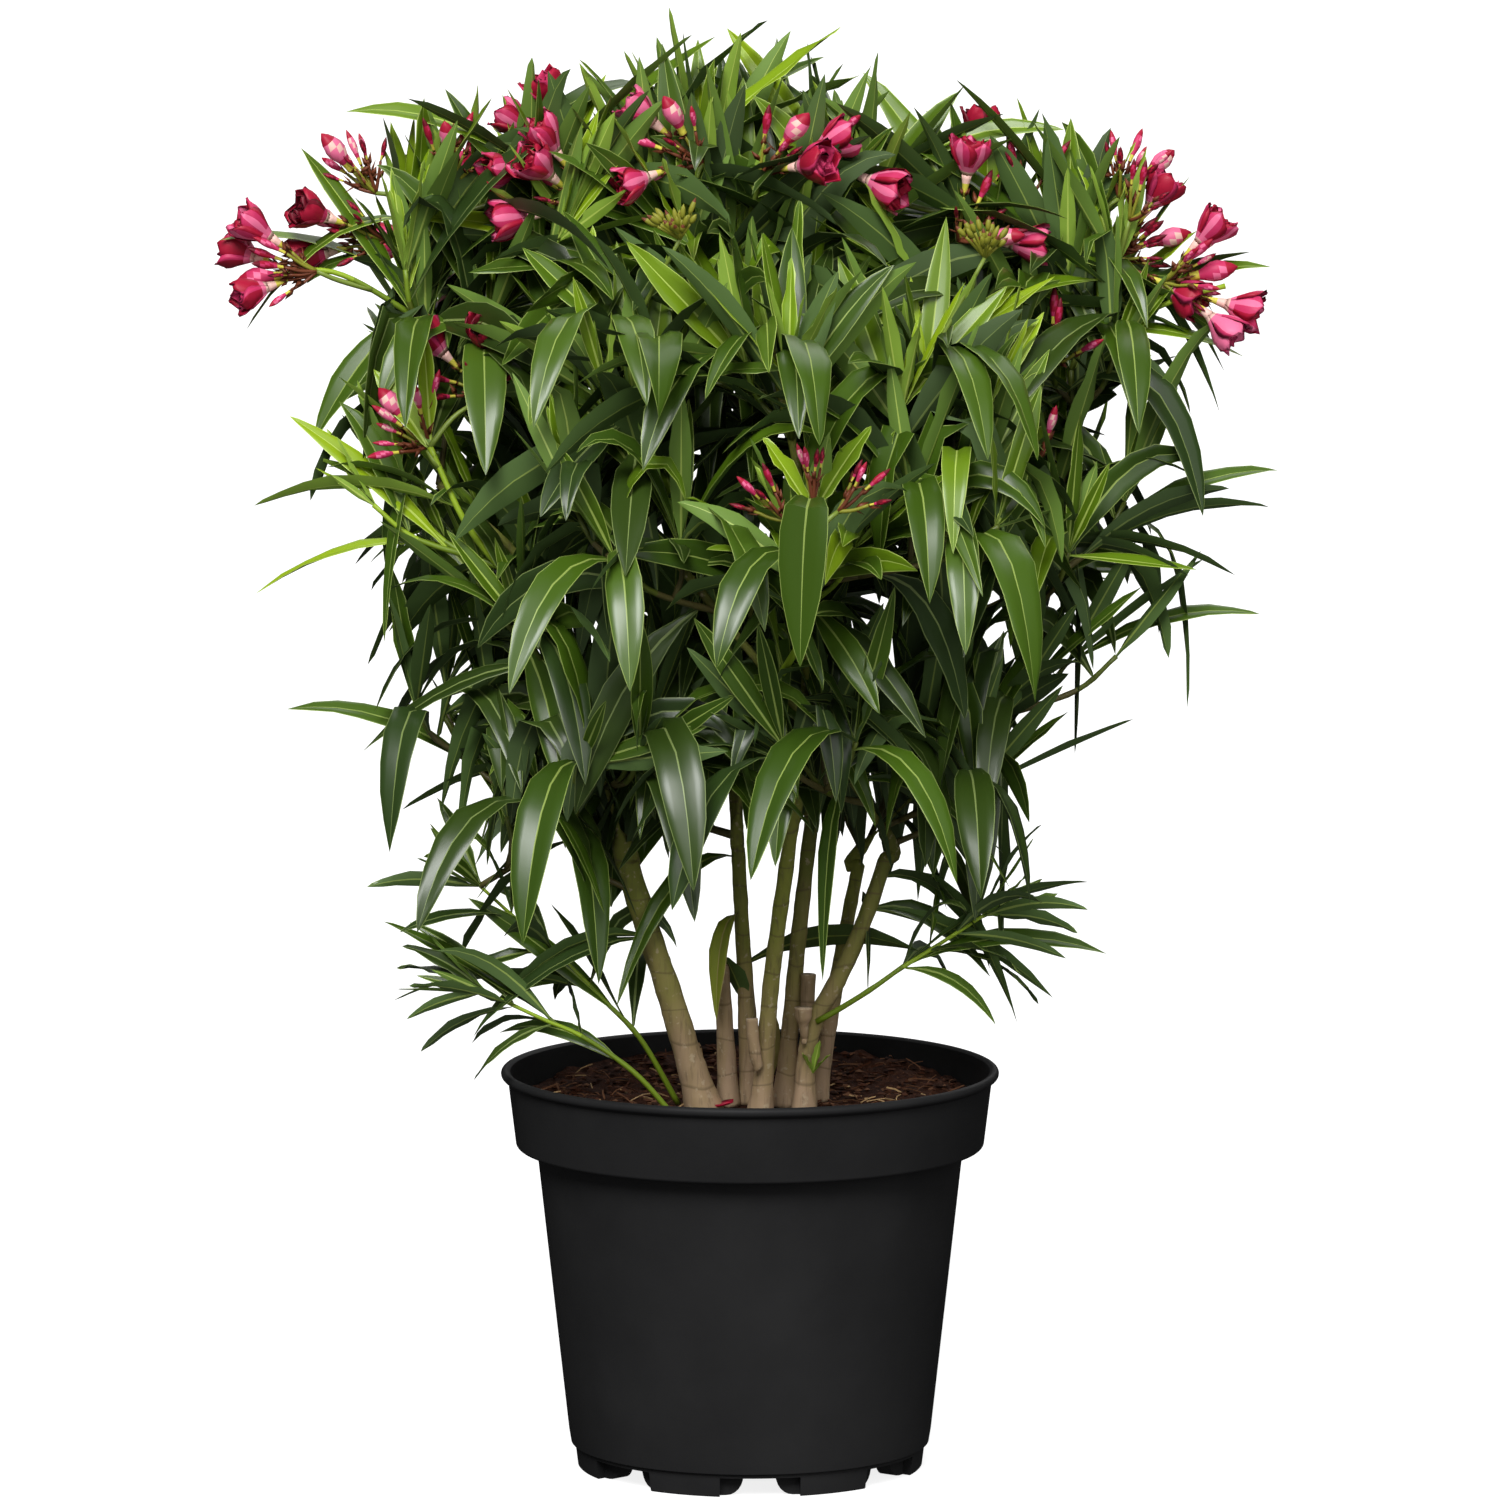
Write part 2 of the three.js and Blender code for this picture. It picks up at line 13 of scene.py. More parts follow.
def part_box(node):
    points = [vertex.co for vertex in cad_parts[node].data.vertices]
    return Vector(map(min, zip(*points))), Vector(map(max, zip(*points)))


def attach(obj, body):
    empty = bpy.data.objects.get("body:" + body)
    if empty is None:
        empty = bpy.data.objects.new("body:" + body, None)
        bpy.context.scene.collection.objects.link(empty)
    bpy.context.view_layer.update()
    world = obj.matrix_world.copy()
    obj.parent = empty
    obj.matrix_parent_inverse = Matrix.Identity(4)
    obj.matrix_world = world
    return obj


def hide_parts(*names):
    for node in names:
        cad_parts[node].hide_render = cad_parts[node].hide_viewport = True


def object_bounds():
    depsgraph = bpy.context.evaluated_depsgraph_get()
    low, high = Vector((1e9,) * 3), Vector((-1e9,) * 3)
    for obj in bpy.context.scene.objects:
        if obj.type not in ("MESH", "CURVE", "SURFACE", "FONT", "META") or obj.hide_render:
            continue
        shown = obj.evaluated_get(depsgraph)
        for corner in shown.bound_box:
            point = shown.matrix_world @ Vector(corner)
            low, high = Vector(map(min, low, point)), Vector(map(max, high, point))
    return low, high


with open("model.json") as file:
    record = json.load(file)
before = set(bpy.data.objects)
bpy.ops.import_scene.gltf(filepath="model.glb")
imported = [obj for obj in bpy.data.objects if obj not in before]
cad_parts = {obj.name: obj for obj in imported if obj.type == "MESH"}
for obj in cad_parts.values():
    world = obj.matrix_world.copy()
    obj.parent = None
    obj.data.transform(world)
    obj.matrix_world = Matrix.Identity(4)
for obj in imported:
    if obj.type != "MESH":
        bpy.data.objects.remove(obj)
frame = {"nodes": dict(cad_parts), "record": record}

CAD_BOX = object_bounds()
MM = 0.001
FULL_TURN = 2 * math.pi
ROUND = 6.28  # nearly a full turn, for the phases of waves and spirals
GOLDEN_ANGLE = math.pi * (3 - math.sqrt(5))
UP = np.array([0.0, 0.0, 1.0])
RIGHT = np.array([1.0, 0, 0])
LEVEL = np.array([1, 1, 0])


def placed(name, data):
    """A new object in the scene."""
    made = bpy.data.objects.new(name, data)
    bpy.context.scene.collection.objects.link(made)
    return made


# ---------------------------------------------------------------- camera, floor and light
CAMERA = {"lens": 237.34, "away": 5.5, "height": 1.13192, "tilt": 0.131056}
FLOOR_REACH = 60
FLOOR_GLOW = 0.84
SKY, SKY_IN_REFLECTIONS = 0.28, 0.03
SUNS = {  # azimuth, elevation, power, softness; azimuth 0 is straight in front and grows to the right
    "key": (-14, 44, 3.6, 28),
    "fill": (30, 28, 1.0, 60),
    "back": (165, 48, 0.8, 50),
}


def make_camera():
    """A long lens, a little above the crown and looking down at the container."""
    data = bpy.data.cameras.new("camera")
    data.sensor_width = 36
    data.lens = CAMERA["lens"]
    data.clip_end = 200
    camera = placed("camera", data)
    camera.location = (0, -CAMERA["away"], CAMERA["height"])
    camera.rotation_euler = (math.pi / 2 - CAMERA["tilt"], 0, 0)
    bpy.context.scene.camera = camera


def make_floor():
    """A wide pale floor that glows a little and throws nothing back on the plant."""
    mesh = bpy.data.meshes.new("floor")
    corners = [(x * FLOOR_REACH, y * FLOOR_REACH, 0) for x, y in ((-1, -1), (1, -1), (1, 1), (-1, 1))]
    mesh.from_pydata(corners, [], [(0, 1, 2, 3)])
    floor = placed("floor", mesh)
    paper = plain_material("floor_paper", (0.32, 0.32, 0.32), 0.9, specular=0.0)
    shader = paper.node_tree.nodes["Principled BSDF"]
    shader.inputs["Emission Color"].default_value = (1, 1, 1, 1)
    shader.inputs["Emission Strength"].default_value = FLOOR_GLOW
    mesh.materials.append(paper)
    floor.visible_diffuse = False
    floor.visible_glossy = False


def make_light():
    """A dim even sky, dimmer still in reflections, and soft suns from the front and the back."""
    world = bpy.data.worlds.new("studio")
    world.use_nodes = True
    tree = world.node_tree
    background = tree.nodes["Background"]
    background.inputs["Color"].default_value = (1, 1, 1, 1)
    path = tree.nodes.new("ShaderNodeLightPath")
    strength = tree.nodes.new("ShaderNodeMapRange")
    strength.inputs["To Min"].default_value = SKY
    strength.inputs["To Max"].default_value = SKY_IN_REFLECTIONS
    tree.links.new(path.outputs["Is Glossy Ray"], strength.inputs["Value"])
    tree.links.new(strength.outputs["Result"], background.inputs["Strength"])
    for name, (azimuth, elevation, power, softness) in SUNS.items():
        data = bpy.data.lights.new(name, "SUN")
        data.energy = power
        data.angle = math.radians(softness)
        a, e = math.radians(azimuth), math.radians(elevation)
        towards = Vector((math.sin(a) * math.cos(e), -math.cos(a) * math.cos(e), math.sin(e)))
        placed(name, data).rotation_euler = towards.to_track_quat("Z", "Y").to_euler()
    scene = bpy.context.scene
    scene.world = world
    scene.view_settings.view_transform = "Standard"
    scene.view_settings.look = "None"


# ---------------------------------------------------------------- materials
def plain_material(name, colour, roughness, specular=0.5, coat=0.0):
    material = bpy.data.materials.new(name)
    material.use_nodes = True
    values = {
        "Base Color": (*colour, 1),
        "Roughness": roughness,
        "Specular IOR Level": specular,
        "Coat Weight": coat,
        "Coat Roughness": 0.3,
    }
    for key, value in values.items():
        material.node_tree.nodes["Principled BSDF"].inputs[key].default_value = value
    return material


class Recipe:
    """Wires the nodes of one procedural material."""

    def __init__(self, name, roughness, specular):
        self.material = plain_material(name, (1, 1, 1), roughness, specular)
        self.tree = self.material.node_tree
        self.place = self.node("ShaderNodeTexCoord").outputs["Object"]

    def feed(self, node, values):
        """Links each input to the socket given for it, or sets it to the constant."""
        for key, value in values.items():
            if isinstance(value, bpy.types.NodeSocket):
                self.tree.links.new(value, node.inputs[key])
            else:
                node.inputs[key].default_value = value

    def node(self, kind, values=None, **settings):
        made = self.tree.nodes.new(kind)
        for key, value in settings.items():
            setattr(made, key, value)
        self.feed(made, values or {})
        return made

    def noise(self, scale, detail=4.0, roughness=0.55, stretch=(1, 1, 1)):
        mapping = self.node("ShaderNodeMapping", {"Vector": self.place, "Scale": stretch})
        values = {"Scale": scale, "Detail": detail, "Roughness": roughness}
        values["Vector"] = mapping.outputs["Vector"]
        return self.node("ShaderNodeTexNoise", values).outputs["Fac"]

    def ramp(self, fac, stops):
        ramp = self.node("ShaderNodeValToRGB", {"Fac": fac})
        points = ramp.color_ramp.elements
        while len(points) < len(stops):
            points.new(0.5)
        for point, (position, colour) in zip(points, stops):
            point.position = position
            point.color = (*colour, 1)
        return ramp.outputs["Color"]

    def stain(self, ground, fac, levels, colour):
        """The ground with a colour laid over it, as strong as the levels say for fac."""
        share = self.ramp(fac, [(position, (level,) * 3) for position, level in levels])
        values = {"Factor": share, "A": ground, "B": (*colour, 1)}
        return self.node("ShaderNodeMix", values, data_type="RGBA").outputs["Result"]

    def math(self, operation, a, b=0.0):
        return self.node("ShaderNodeMath", {0: a, 1: b}, operation=operation).outputs["Value"]

    def add(self, a, b, share):
        return self.math("ADD", a, self.math("MULTIPLY", b, share))

    def span(self, fac, end, low, high):
        """Maps fac from, or to, the stretch between low and high."""
        values = {"Value": fac, end + " Min": low, end + " Max": high}
        return self.node("ShaderNodeMapRange", values).outputs["Result"]

    def height(self):
        return self.node("ShaderNodeSeparateXYZ", {"Vector": self.place}).outputs["Z"]

    def done(self, colour, relief, strength, distance, roughness=None):
        """The material with its colour, its relief and, where given, an uneven roughness."""
        bump = self.node("ShaderNodeBump", {"Height": relief, "Strength": strength, "Distance": distance})
        values = {"Base Color": colour, "Normal": bump.outputs["Normal"]}
        if roughness is not None:
            values["Roughness"] = roughness
        self.feed(self.tree.nodes["Principled BSDF"], values)
        return self.material


def pot_plastic():
    """Black moulded polypropylene: a fine dull grain with faint scuffs that run round it."""
    recipe = Recipe("pot_plastic", 0.5, 0.08)
    cloud = recipe.noise(14, detail=5)
    scuff = recipe.noise(60, detail=3, stretch=(1, 1, 9))
    black = recipe.ramp(cloud, [(0.3, (0.0130, 0.0130, 0.0134)), (0.7, (0.0180, 0.0180, 0.0184))])
    worn = recipe.add(recipe.math("MULTIPLY", cloud, 0.6), scuff, 0.4)
    grain = recipe.add(recipe.noise(900, detail=2), cloud, 2.0)
    return recipe.done(black, grain, 0.12, 0.0004, recipe.span(worn, "To", 0.4, 0.6))


SCAR_GAP = 0.021  # from one ring of leaf scars to the next
GREY_BARK, TAN_BARK, MID_BARK = (0.360, 0.250, 0.155), (0.285, 0.205, 0.100), (0.255, 0.220, 0.065)


def bark(name, foot, crown, olive):
    """Grey-tan bark at the foot that turns olive green further up, with freckles and fine upright cracks."""
    recipe = Recipe(name, 0.75, 0.3)
    patches = recipe.noise(55, detail=5, stretch=(1, 1, 0.35))
    rise = recipe.span(recipe.height(), "From", foot, crown)
    rise = recipe.add(rise, recipe.math("SUBTRACT", patches, 0.5), 0.9)
    ground = recipe.ramp(rise, [(0.0, GREY_BARK), (0.22, TAN_BARK), (0.5, MID_BARK), (0.85, olive)])
    cracks = recipe.noise(420, detail=4, stretch=(1, 1, 0.12))
    freckles = recipe.noise(260, detail=2)
    rings = recipe.math("DIVIDE", recipe.height(), SCAR_GAP)
    scars = recipe.math("FRACT", recipe.math("ADD", rings, recipe.noise(28, detail=1)))
    ground = recipe.stain(ground, scars, [(0.0, 0), (0.035, 0.6), (0.09, 0)], (0.11, 0.075, 0.035))
    ground = recipe.stain(ground, cracks, [(0.52, 0), (0.72, 0.55)], (0.10, 0.07, 0.04))
    ground = recipe.stain(ground, freckles, [(0.62, 0), (0.7, 0.5)], (0.46, 0.38, 0.25))
    relief = recipe.add(cracks, freckles, 0.5)
    return recipe.done(ground, relief, 0.35, 0.0006, recipe.span(patches, "To", 0.6, 0.85))


def cut_wood():
    """Dry pith of a cane that was cut back, with a fine grain."""
    recipe = Recipe("cut_wood", 0.85, 0.2)
    grain = recipe.noise(500, detail=4)
    pith = recipe.ramp(grain, [(0.35, (0.36, 0.25, 0.15)), (0.65, (0.66, 0.53, 0.38))])
    return recipe.done(pith, grain, 0.4, 0.0005)


def compost():
    """Dark red-brown peat with paler crumbs."""
    recipe = Recipe("compost", 0.95, 0.12)
    clods = recipe.noise(95, detail=7, roughness=0.7)
    specks = recipe.noise(600, detail=2)
    peat = [(0.3, (0.010, 0.0035, 0.002)), (0.52, (0.035, 0.012, 0.006)), (0.72, (0.09, 0.036, 0.018))]
    ground = recipe.stain(recipe.ramp(clods, peat), specks, [(0.66, 0), (0.74, 0.6)], (0.17, 0.085, 0.045))
    return recipe.done(ground, recipe.add(clods, specks, 0.4), 0.9, 0.003)


LEAF_TONES = {  # for each age: its greens, its underside, its midrib, and how rough its upper face is
    "old": (
        [(0.020, 0.040, 0.004), (0.026, 0.051, 0.005), (0.031, 0.058, 0.007), (0.022, 0.045, 0.008)],
        (0.050, 0.085, 0.026), (0.160, 0.215, 0.060), 0.36,
    ),
    "leafy": (
        [(0.037, 0.078, 0.004), (0.046, 0.095, 0.005), (0.032, 0.068, 0.005), (0.054, 0.106, 0.008)],
        (0.070, 0.125, 0.030), (0.230, 0.310, 0.065), 0.34,
    ),
    "fresh": (
        [(0.080, 0.150, 0.003), (0.100, 0.180, 0.004), (0.064, 0.125, 0.004), (0.118, 0.205, 0.006)],
        (0.130, 0.225, 0.035), (0.350, 0.460, 0.090), 0.38,
    ),
    "lime": (
        [(0.195, 0.310, 0.005), (0.245, 0.370, 0.006), (0.160, 0.270, 0.005)],
        (0.220, 0.350, 0.040), (0.430, 0.560, 0.100), 0.42,
    ),
    "dying": (
        [(0.220, 0.260, 0.018), (0.190, 0.115, 0.040)],
        (0.220, 0.190, 0.060), (0.380, 0.330, 0.100), 0.6,
    ),
}
STEM_GREENS = {
    "woody": (0.105, 0.092, 0.026),
    "olive": (0.095, 0.125, 0.012),
    "green": (0.150, 0.235, 0.010),
    "lime": (0.270, 0.400, 0.016),
}
BLOSSOM = {
    "crimson": (0.360, 0.0060, 0.032),
    "deep": (0.140, 0.0030, 0.014),
    "rose": (0.520, 0.0280, 0.110),
    # pink is the colour of pink flowers and buds, and also the painted highlight on the outer petals of every
    # flower
    "pink": (0.760, 0.1500, 0.290),
    "blush": (0.800, 0.500, 0.430),
    "cream": (0.620, 0.560, 0.070),
    "bract": (0.150, 0.040, 0.016),
    "bract_green": (0.230, 0.230, 0.022),
}


def leaf_materials():
    """Plain satin greens, and for each age its midrib and its underside."""
    made, number = [], {}
    for age, (greens, underside, midrib, roughness) in LEAF_TONES.items():
        for k, colour in enumerate(greens):
            number[age, k] = len(made)
            made.append(plain_material(f"leaf_{age}_{k}", colour, roughness, specular=0.44, coat=0.12))
        number[age, "rib"] = len(made)
        made.append(plain_material(f"midrib_{age}", midrib, 0.45))
        number[age, "under"] = len(made)
        made.append(plain_material(f"underside_{age}", underside, 0.6, specular=0.3))
    return made, number


# ---------------------------------------------------------------- meshes
class Heap:
    """Collects many small shapes that become one joined piece."""

    def __init__(self, name):
        self.name = name
        self.points = []
        self.faces = []
        self.slots = []
        self.count = 0

    def add(self, points, faces, slots):
        self.points.append(np.asarray(points, float))
        self.faces.extend(tuple(self.count + k for k in face) for face in faces)
        self.slots.extend(slots if isinstance(slots, list) else [slots] * len(faces))
        self.count += len(points)

    def piece(self, materials, crease=None):
        mesh = bpy.data.meshes.new(self.name)
        mesh.from_pydata(np.concatenate(self.points).tolist(), [], self.faces)
        for material in materials:
            mesh.materials.append(material)
        mesh.polygons.foreach_set("material_index", self.slots)
        mesh.polygons.foreach_set("use_smooth", [True] * len(self.faces))
        if crease is not None:
            mesh.set_sharp_from_angle(angle=math.radians(crease))
        mesh.update()
        return placed(self.name, mesh)


def finished(piece, slot, *nodes):
    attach(piece, "root")
    if nodes:
        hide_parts(*nodes)


def unit(v):
    return v / max(np.linalg.norm(v), 1e-9)


def units(rows):
    return rows / np.maximum(np.linalg.norm(rows, axis=-1), 1e-9)[..., None]


def swung(ahead, aside, angle):
    """The direction that lies at an angle from one direction towards another that is square to it."""
    return ahead * math.cos(angle) + aside * math.sin(angle)


def turned(v, axis, angle):
    """v turned about a unit axis."""
    c, s = math.cos(angle), math.sin(angle)
    return v * c + np.cross(axis, v) * s + axis * np.dot(axis, v) * (1 - c)


def square_to(aim):
    """A direction square to an aim."""
    return unit(np.cross(aim, UP if abs(aim[2]) < 0.9 else RIGHT))


def level_across(heading):
    """The level direction square to a heading."""
    return unit(np.cross(UP, heading + np.array([1e-4, 0, 0])))


def stray(dice, *widths):
    """A small random step, with its own width along each axis."""
    return np.array([dice.gauss(0, width) for width in widths])


def run_along(path):
    """How far along a path each of its points is."""
    return np.concatenate([[0], np.cumsum(np.linalg.norm(np.diff(path, axis=0), axis=1))])


def smooth_path(points, step):
    """A rounded path through the points, with a point about every step."""
    p = np.asarray(points, float)
    ends = np.vstack([2 * p[0] - p[1], p, 2 * p[-1] - p[-2]])
    t = np.linspace(0, 1, 13)[:-1, None]
    fine = []
    for a, b, c, d in zip(ends, ends[1:], ends[2:], ends[3:]):
        curve = 2 * b + (c - a) * t + (2 * a - 5 * b + 4 * c - d) * t**2
        fine.append(0.5 * (curve + (3 * b - a - 3 * c + d) * t**3))
    fine = np.vstack([*fine, p[-1:]])
    run = run_along(fine)
    count = max(2, int(round(run[-1] / step)) + 1)
    at_run = np.linspace(0, run[-1], count)
    return np.stack([np.interp(at_run, run, fine[:, k]) for k in range(3)], 1)


def path_frames(path):
    """Tangents and two sideways directions that don't spin along the path."""
    tangents = units(np.gradient(path, axis=0))
    side = unit(np.cross(tangents[0], RIGHT if abs(tangents[0][0]) < 0.8 else np.array([0, 1.0, 0])))
    sides = []
    for tangent in tangents:
        side = unit(side - tangent * np.dot(side, tangent))
        sides.append(side)
    sides = np.array(sides)
    return tangents, sides, np.cross(tangents, sides)


def ring_faces(rings, sides):
    """The faces of a closed skin over rings of points: the bands between them, then its two ends."""
    faces = []
    for i in range(rings - 1):
        for k in range(sides):
            n = (k + 1) % sides
            faces.append((i * sides + k, i * sides + n, (i + 1) * sides + n, (i + 1) * sides + k))
    faces.append(tuple(reversed(range(sides))))
    faces.append(tuple((rings - 1) * sides + k for k in range(sides)))
    return faces


def tube(heap, path, radii, sides, slot):
    """A closed round tube. slot is a number, or one for each stretch between two rings."""
    _, across, over = path_frames(path)
    angles = FULL_TURN * np.arange(sides) / sides
    ring = np.cos(angles)[None, :, None] * across[:, None] + np.sin(angles)[None, :, None] * over[:, None]
    points = (path[:, None] + ring * np.asarray(radii)[:, None, None]).reshape(-1, 3)
    bands = [slot] * (len(path) - 1) if isinstance(slot, int) else slot[: len(path) - 1]
    slots = [band for band in bands for _ in range(sides)] + [bands[0], bands[-1]]
    heap.add(points, ring_faces(len(path), sides), slots)


# ---------------------------------------------------------------- the container
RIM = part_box("pot")[1].z
POT_HEIGHT = RIM / MM
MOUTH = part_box("pot")[1].x / MM  # the radius of the frame's container at its lip
POT = {  # radii, told from the mouth inward, and heights, in millimetres
    "wall": 2.0,
    "lip": MOUTH + 0.3,
    "band_top": MOUTH - 3.7,
    "band_foot": (MOUTH - 8.0, POT_HEIGHT - 44.0),
    "body_top": MOUTH - 19.7,
    "body_foot": (MOUTH - 37.6, 21.0),
    "skirt": (MOUTH - 38.8, 13.8),
    "seam": (MOUTH - 41.1, 12.9),
    "foot": MOUTH - 42.6,
    "ring_inside": MOUTH - 60.0,
    "floor": 12.0,
}
CORNER, BEAD = 2.2, 2.6  # the radii of the band's rounded foot and of the lip
NOTCH = {"count": 7, "turn": 3.4, "wide": 45.0, "tall": 11.0, "arch": 18.0, "flare": 9.5, "skin": 5.5}
BELOW = 2  # how far a cut runs past what it cuts
DRAIN = {"radius": 7.0, "ring": 62.0, "deep": 8.0, "sides": 28}
POT_SEGMENTS = 192
POT_CREASE = 32


def arc(centre, radius, start, end, steps):
    """Points of an arc in the (radius, height) plane, with angles in degrees."""
    angles = np.radians(np.linspace(start, end, steps + 1))
    return [(centre[0] + radius * math.cos(a), centre[1] + radius * math.sin(a)) for a in angles]


def pot_profile():
    """The outline of the container's wall, from the middle of its underside round to its floor."""
    wall, floor, lip = POT["wall"], POT["floor"], POT["lip"]
    band_top, body_top, foot, ring = POT["band_top"], POT["body_top"], POT["foot"], POT["ring_inside"]
    (band_r, band_z), (body_r, body_z) = POT["band_foot"], POT["body_foot"]
    (skirt_r, skirt_z), (seam_r, seam_z) = POT["skirt"], POT["seam"]
    underside = [(0, floor), (ring, floor), (ring, 0), (foot - 0.6, 0), (foot, 0.6)]
    skirt = [
        (seam_r, seam_z - 0.2), (seam_r, seam_z), (skirt_r - 0.5, skirt_z - 0.4), (skirt_r, skirt_z),
        (body_r, body_z),
    ]
    shoulder = [
        (body_top - 0.9, band_z - 8), (body_top - 0.4, band_z - 1.2), (body_top + 0.4, band_z + 0.1),
        (body_top + 1.4, band_z + 0.4),
    ]
    corner = arc((band_r - CORNER, band_z + 2.4), CORNER, -90, -8, 5)
    under_lip = [(band_top - 0.3, POT_HEIGHT - 9), (band_top + 0.2, POT_HEIGHT - 6.4)]
    bead = arc((lip - BEAD, POT_HEIGHT - BEAD), BEAD, -70, 110, 10)
    inside = [
        (band_top - wall + 0.8, POT_HEIGHT - 1.4), (band_top - wall, POT_HEIGHT - 4),
        (band_r - wall, band_z + wall + 2), (band_r - wall - 2, band_z + wall),
        (body_top - wall, band_z + wall), (body_r - wall, body_z + 1), (seam_r - 4, floor + wall),
        (0, floor + wall),
    ]
    return underside + skirt + shoulder + corner + under_lip + bead + inside


def lathe(profile, segments):
    """A closed solid turned about Z. The first and last points lie on the axis."""
    shape = bmesh.new()
    rings = []
    for radius, height in profile:
        angles = [FULL_TURN * k / segments for k in range(segments if radius else 1)]
        flat = [(radius * MM * math.cos(a), radius * MM * math.sin(a)) for a in angles]
        rings.append([shape.verts.new((x, y, height * MM)) for x, y in flat])
    for low, high in zip(rings, rings[1:]):
        for k in range(segments):
            n = (k + 1) % segments
            corners = [low[k % len(low)], low[n % len(low)], high[n % len(high)], high[k % len(high)]]
            shape.faces.new(list(dict.fromkeys(corners)))
    bmesh.ops.recalc_face_normals(shape, faces=shape.faces)
    return shape


def prism(outline, far, near):
    """A closed bar along Y whose section is an outline in X and Z, in millimetres."""
    shape = bmesh.new()
    front = [shape.verts.new((x * MM, far * MM, z * MM)) for x, z in outline]
    back = [shape.verts.new((x * MM, near * MM, z * MM)) for x, z in outline]
    shape.faces.new(front)
    shape.faces.new(back[::-1])
    for k in range(len(outline)):
        n = (k + 1) % len(outline)
        shape.faces.new((front[n], front[k], back[k], back[n]))
    bmesh.ops.recalc_face_normals(shape, faces=shape.faces)
    return shape


def cutters():
    """What is cut at each foot: a window in its outer skin, an arch between two inner legs, and a drain."""
    tall, flare, outside = NOTCH["tall"], NOTCH["flare"], -(POT["foot"] + 3)
    half = NOTCH["wide"] / 2
    square = [(-half, tall), (-half, -BELOW), (half, -BELOW), (half, tall)]
    window = prism(square, outside, outside + 2 * NOTCH["skin"])
    bends = np.linspace(0, math.pi / 2, 7)
    leg = [(NOTCH["arch"] / 2 + flare * (1 - math.cos(a)), tall * (1 - math.sin(a))) for a in bends]
    ground = [(-leg[-1][0], -BELOW), (leg[-1][0], -BELOW)]
    arch = prism([(-x, z) for x, z in leg] + ground + leg[::-1], outside, -(POT["ring_inside"] - BELOW))
    drain = bmesh.new()
    size = {"radius1": DRAIN["radius"] * MM, "radius2": DRAIN["radius"] * MM, "depth": DRAIN["deep"] * MM}
    bmesh.ops.create_cone(drain, cap_ends=True, segments=DRAIN["sides"], **size)
    bmesh.ops.translate(drain, verts=drain.verts, vec=(0, -DRAIN["ring"] * MM, (POT["floor"] + 1) * MM))
    return window, arch, drain


def mesh_of(shape, name):
    mesh = bpy.data.meshes.new(name)
    shape.to_mesh(mesh)
    shape.free()
    return mesh


def make_pot():
    pot = placed("nursery_pot", mesh_of(lathe(pot_profile(), POT_SEGMENTS), "nursery_pot"))
    cuts = bmesh.new()
    for k in range(NOTCH["count"]):
        turn = Matrix.Rotation(math.radians(NOTCH["turn"] + 360 / NOTCH["count"] * k), 3, "Z")
        for cutter in cutters():
            bmesh.ops.rotate(cutter, verts=cutter.verts, cent=(0, 0, 0), matrix=turn)
            one = mesh_of(cutter, "cut")
            cuts.from_mesh(one)
            bpy.data.meshes.remove(one)
    cut_object = placed("cuts", mesh_of(cuts, "cuts"))
    carve = pot.modifiers.new("feet", "BOOLEAN")
    carve.operation = "DIFFERENCE"
    carve.solver = "EXACT"
    carve.use_self = True
    carve.object = cut_object
    carved = bpy.data.meshes.new_from_object(pot.evaluated_get(bpy.context.evaluated_depsgraph_get()))
    pot.modifiers.clear()
    pot.data = carved
    bpy.data.objects.remove(cut_object)
    carved.materials.clear()
    carved.materials.append(pot_plastic())
    carved.polygons.foreach_set("use_smooth", [True] * len(carved.polygons))
    carved.set_sharp_from_angle(angle=math.radians(POT_CREASE))
    finished(pot, "pot", "pot")


# ---------------------------------------------------------------- the compost
SOIL_RINGS, SOIL_SPOKES = 58, 168
SOIL_DEPTH = 0.038  # from the mouth of the container down to the underside of what is modelled
CLODS, FIBRES = 1500, 620
STRAW = FIBRES // 3  # these lie in a patch of paler straw to the right of the stems
STRAW_PATCH = ((0.062, 0.018), (-0.052, 0.022))  # its middle and its spread, each way
CRUMB_TONES = {  # colour, roughness, specular
    "crumb_dark": ((0.022, 0.008, 0.004), 0.95, 0.1),
    "crumb_red": ((0.062, 0.022, 0.011), 0.95, 0.1),
    "crumb_brown": ((0.120, 0.055, 0.028), 0.95, 0.1),
    "straw": ((0.33, 0.21, 0.095), 0.8, 0.2),
}
CRUMB_CREASE = 60
CLOD_RINGS = [(0.0, 1.0, 1), (0.85, 0.45, 5), (0.9, -0.35, 5), (0.0, -0.9, 1)]  # radius, height, points


def surface_of(node):
    mesh = frame["nodes"][node].data
    return BVHTree.FromPolygons([v.co for v in mesh.vertices], [p.vertices for p in mesh.polygons])


def somewhere(dice, reach, least):
    """A place in a round bed, even over it but for a small part in the middle."""
    radius = reach * math.sqrt(dice.uniform(least, 1))
    angle = dice.uniform(0, FULL_TURN)
    return radius * math.cos(angle), radius * math.sin(angle)


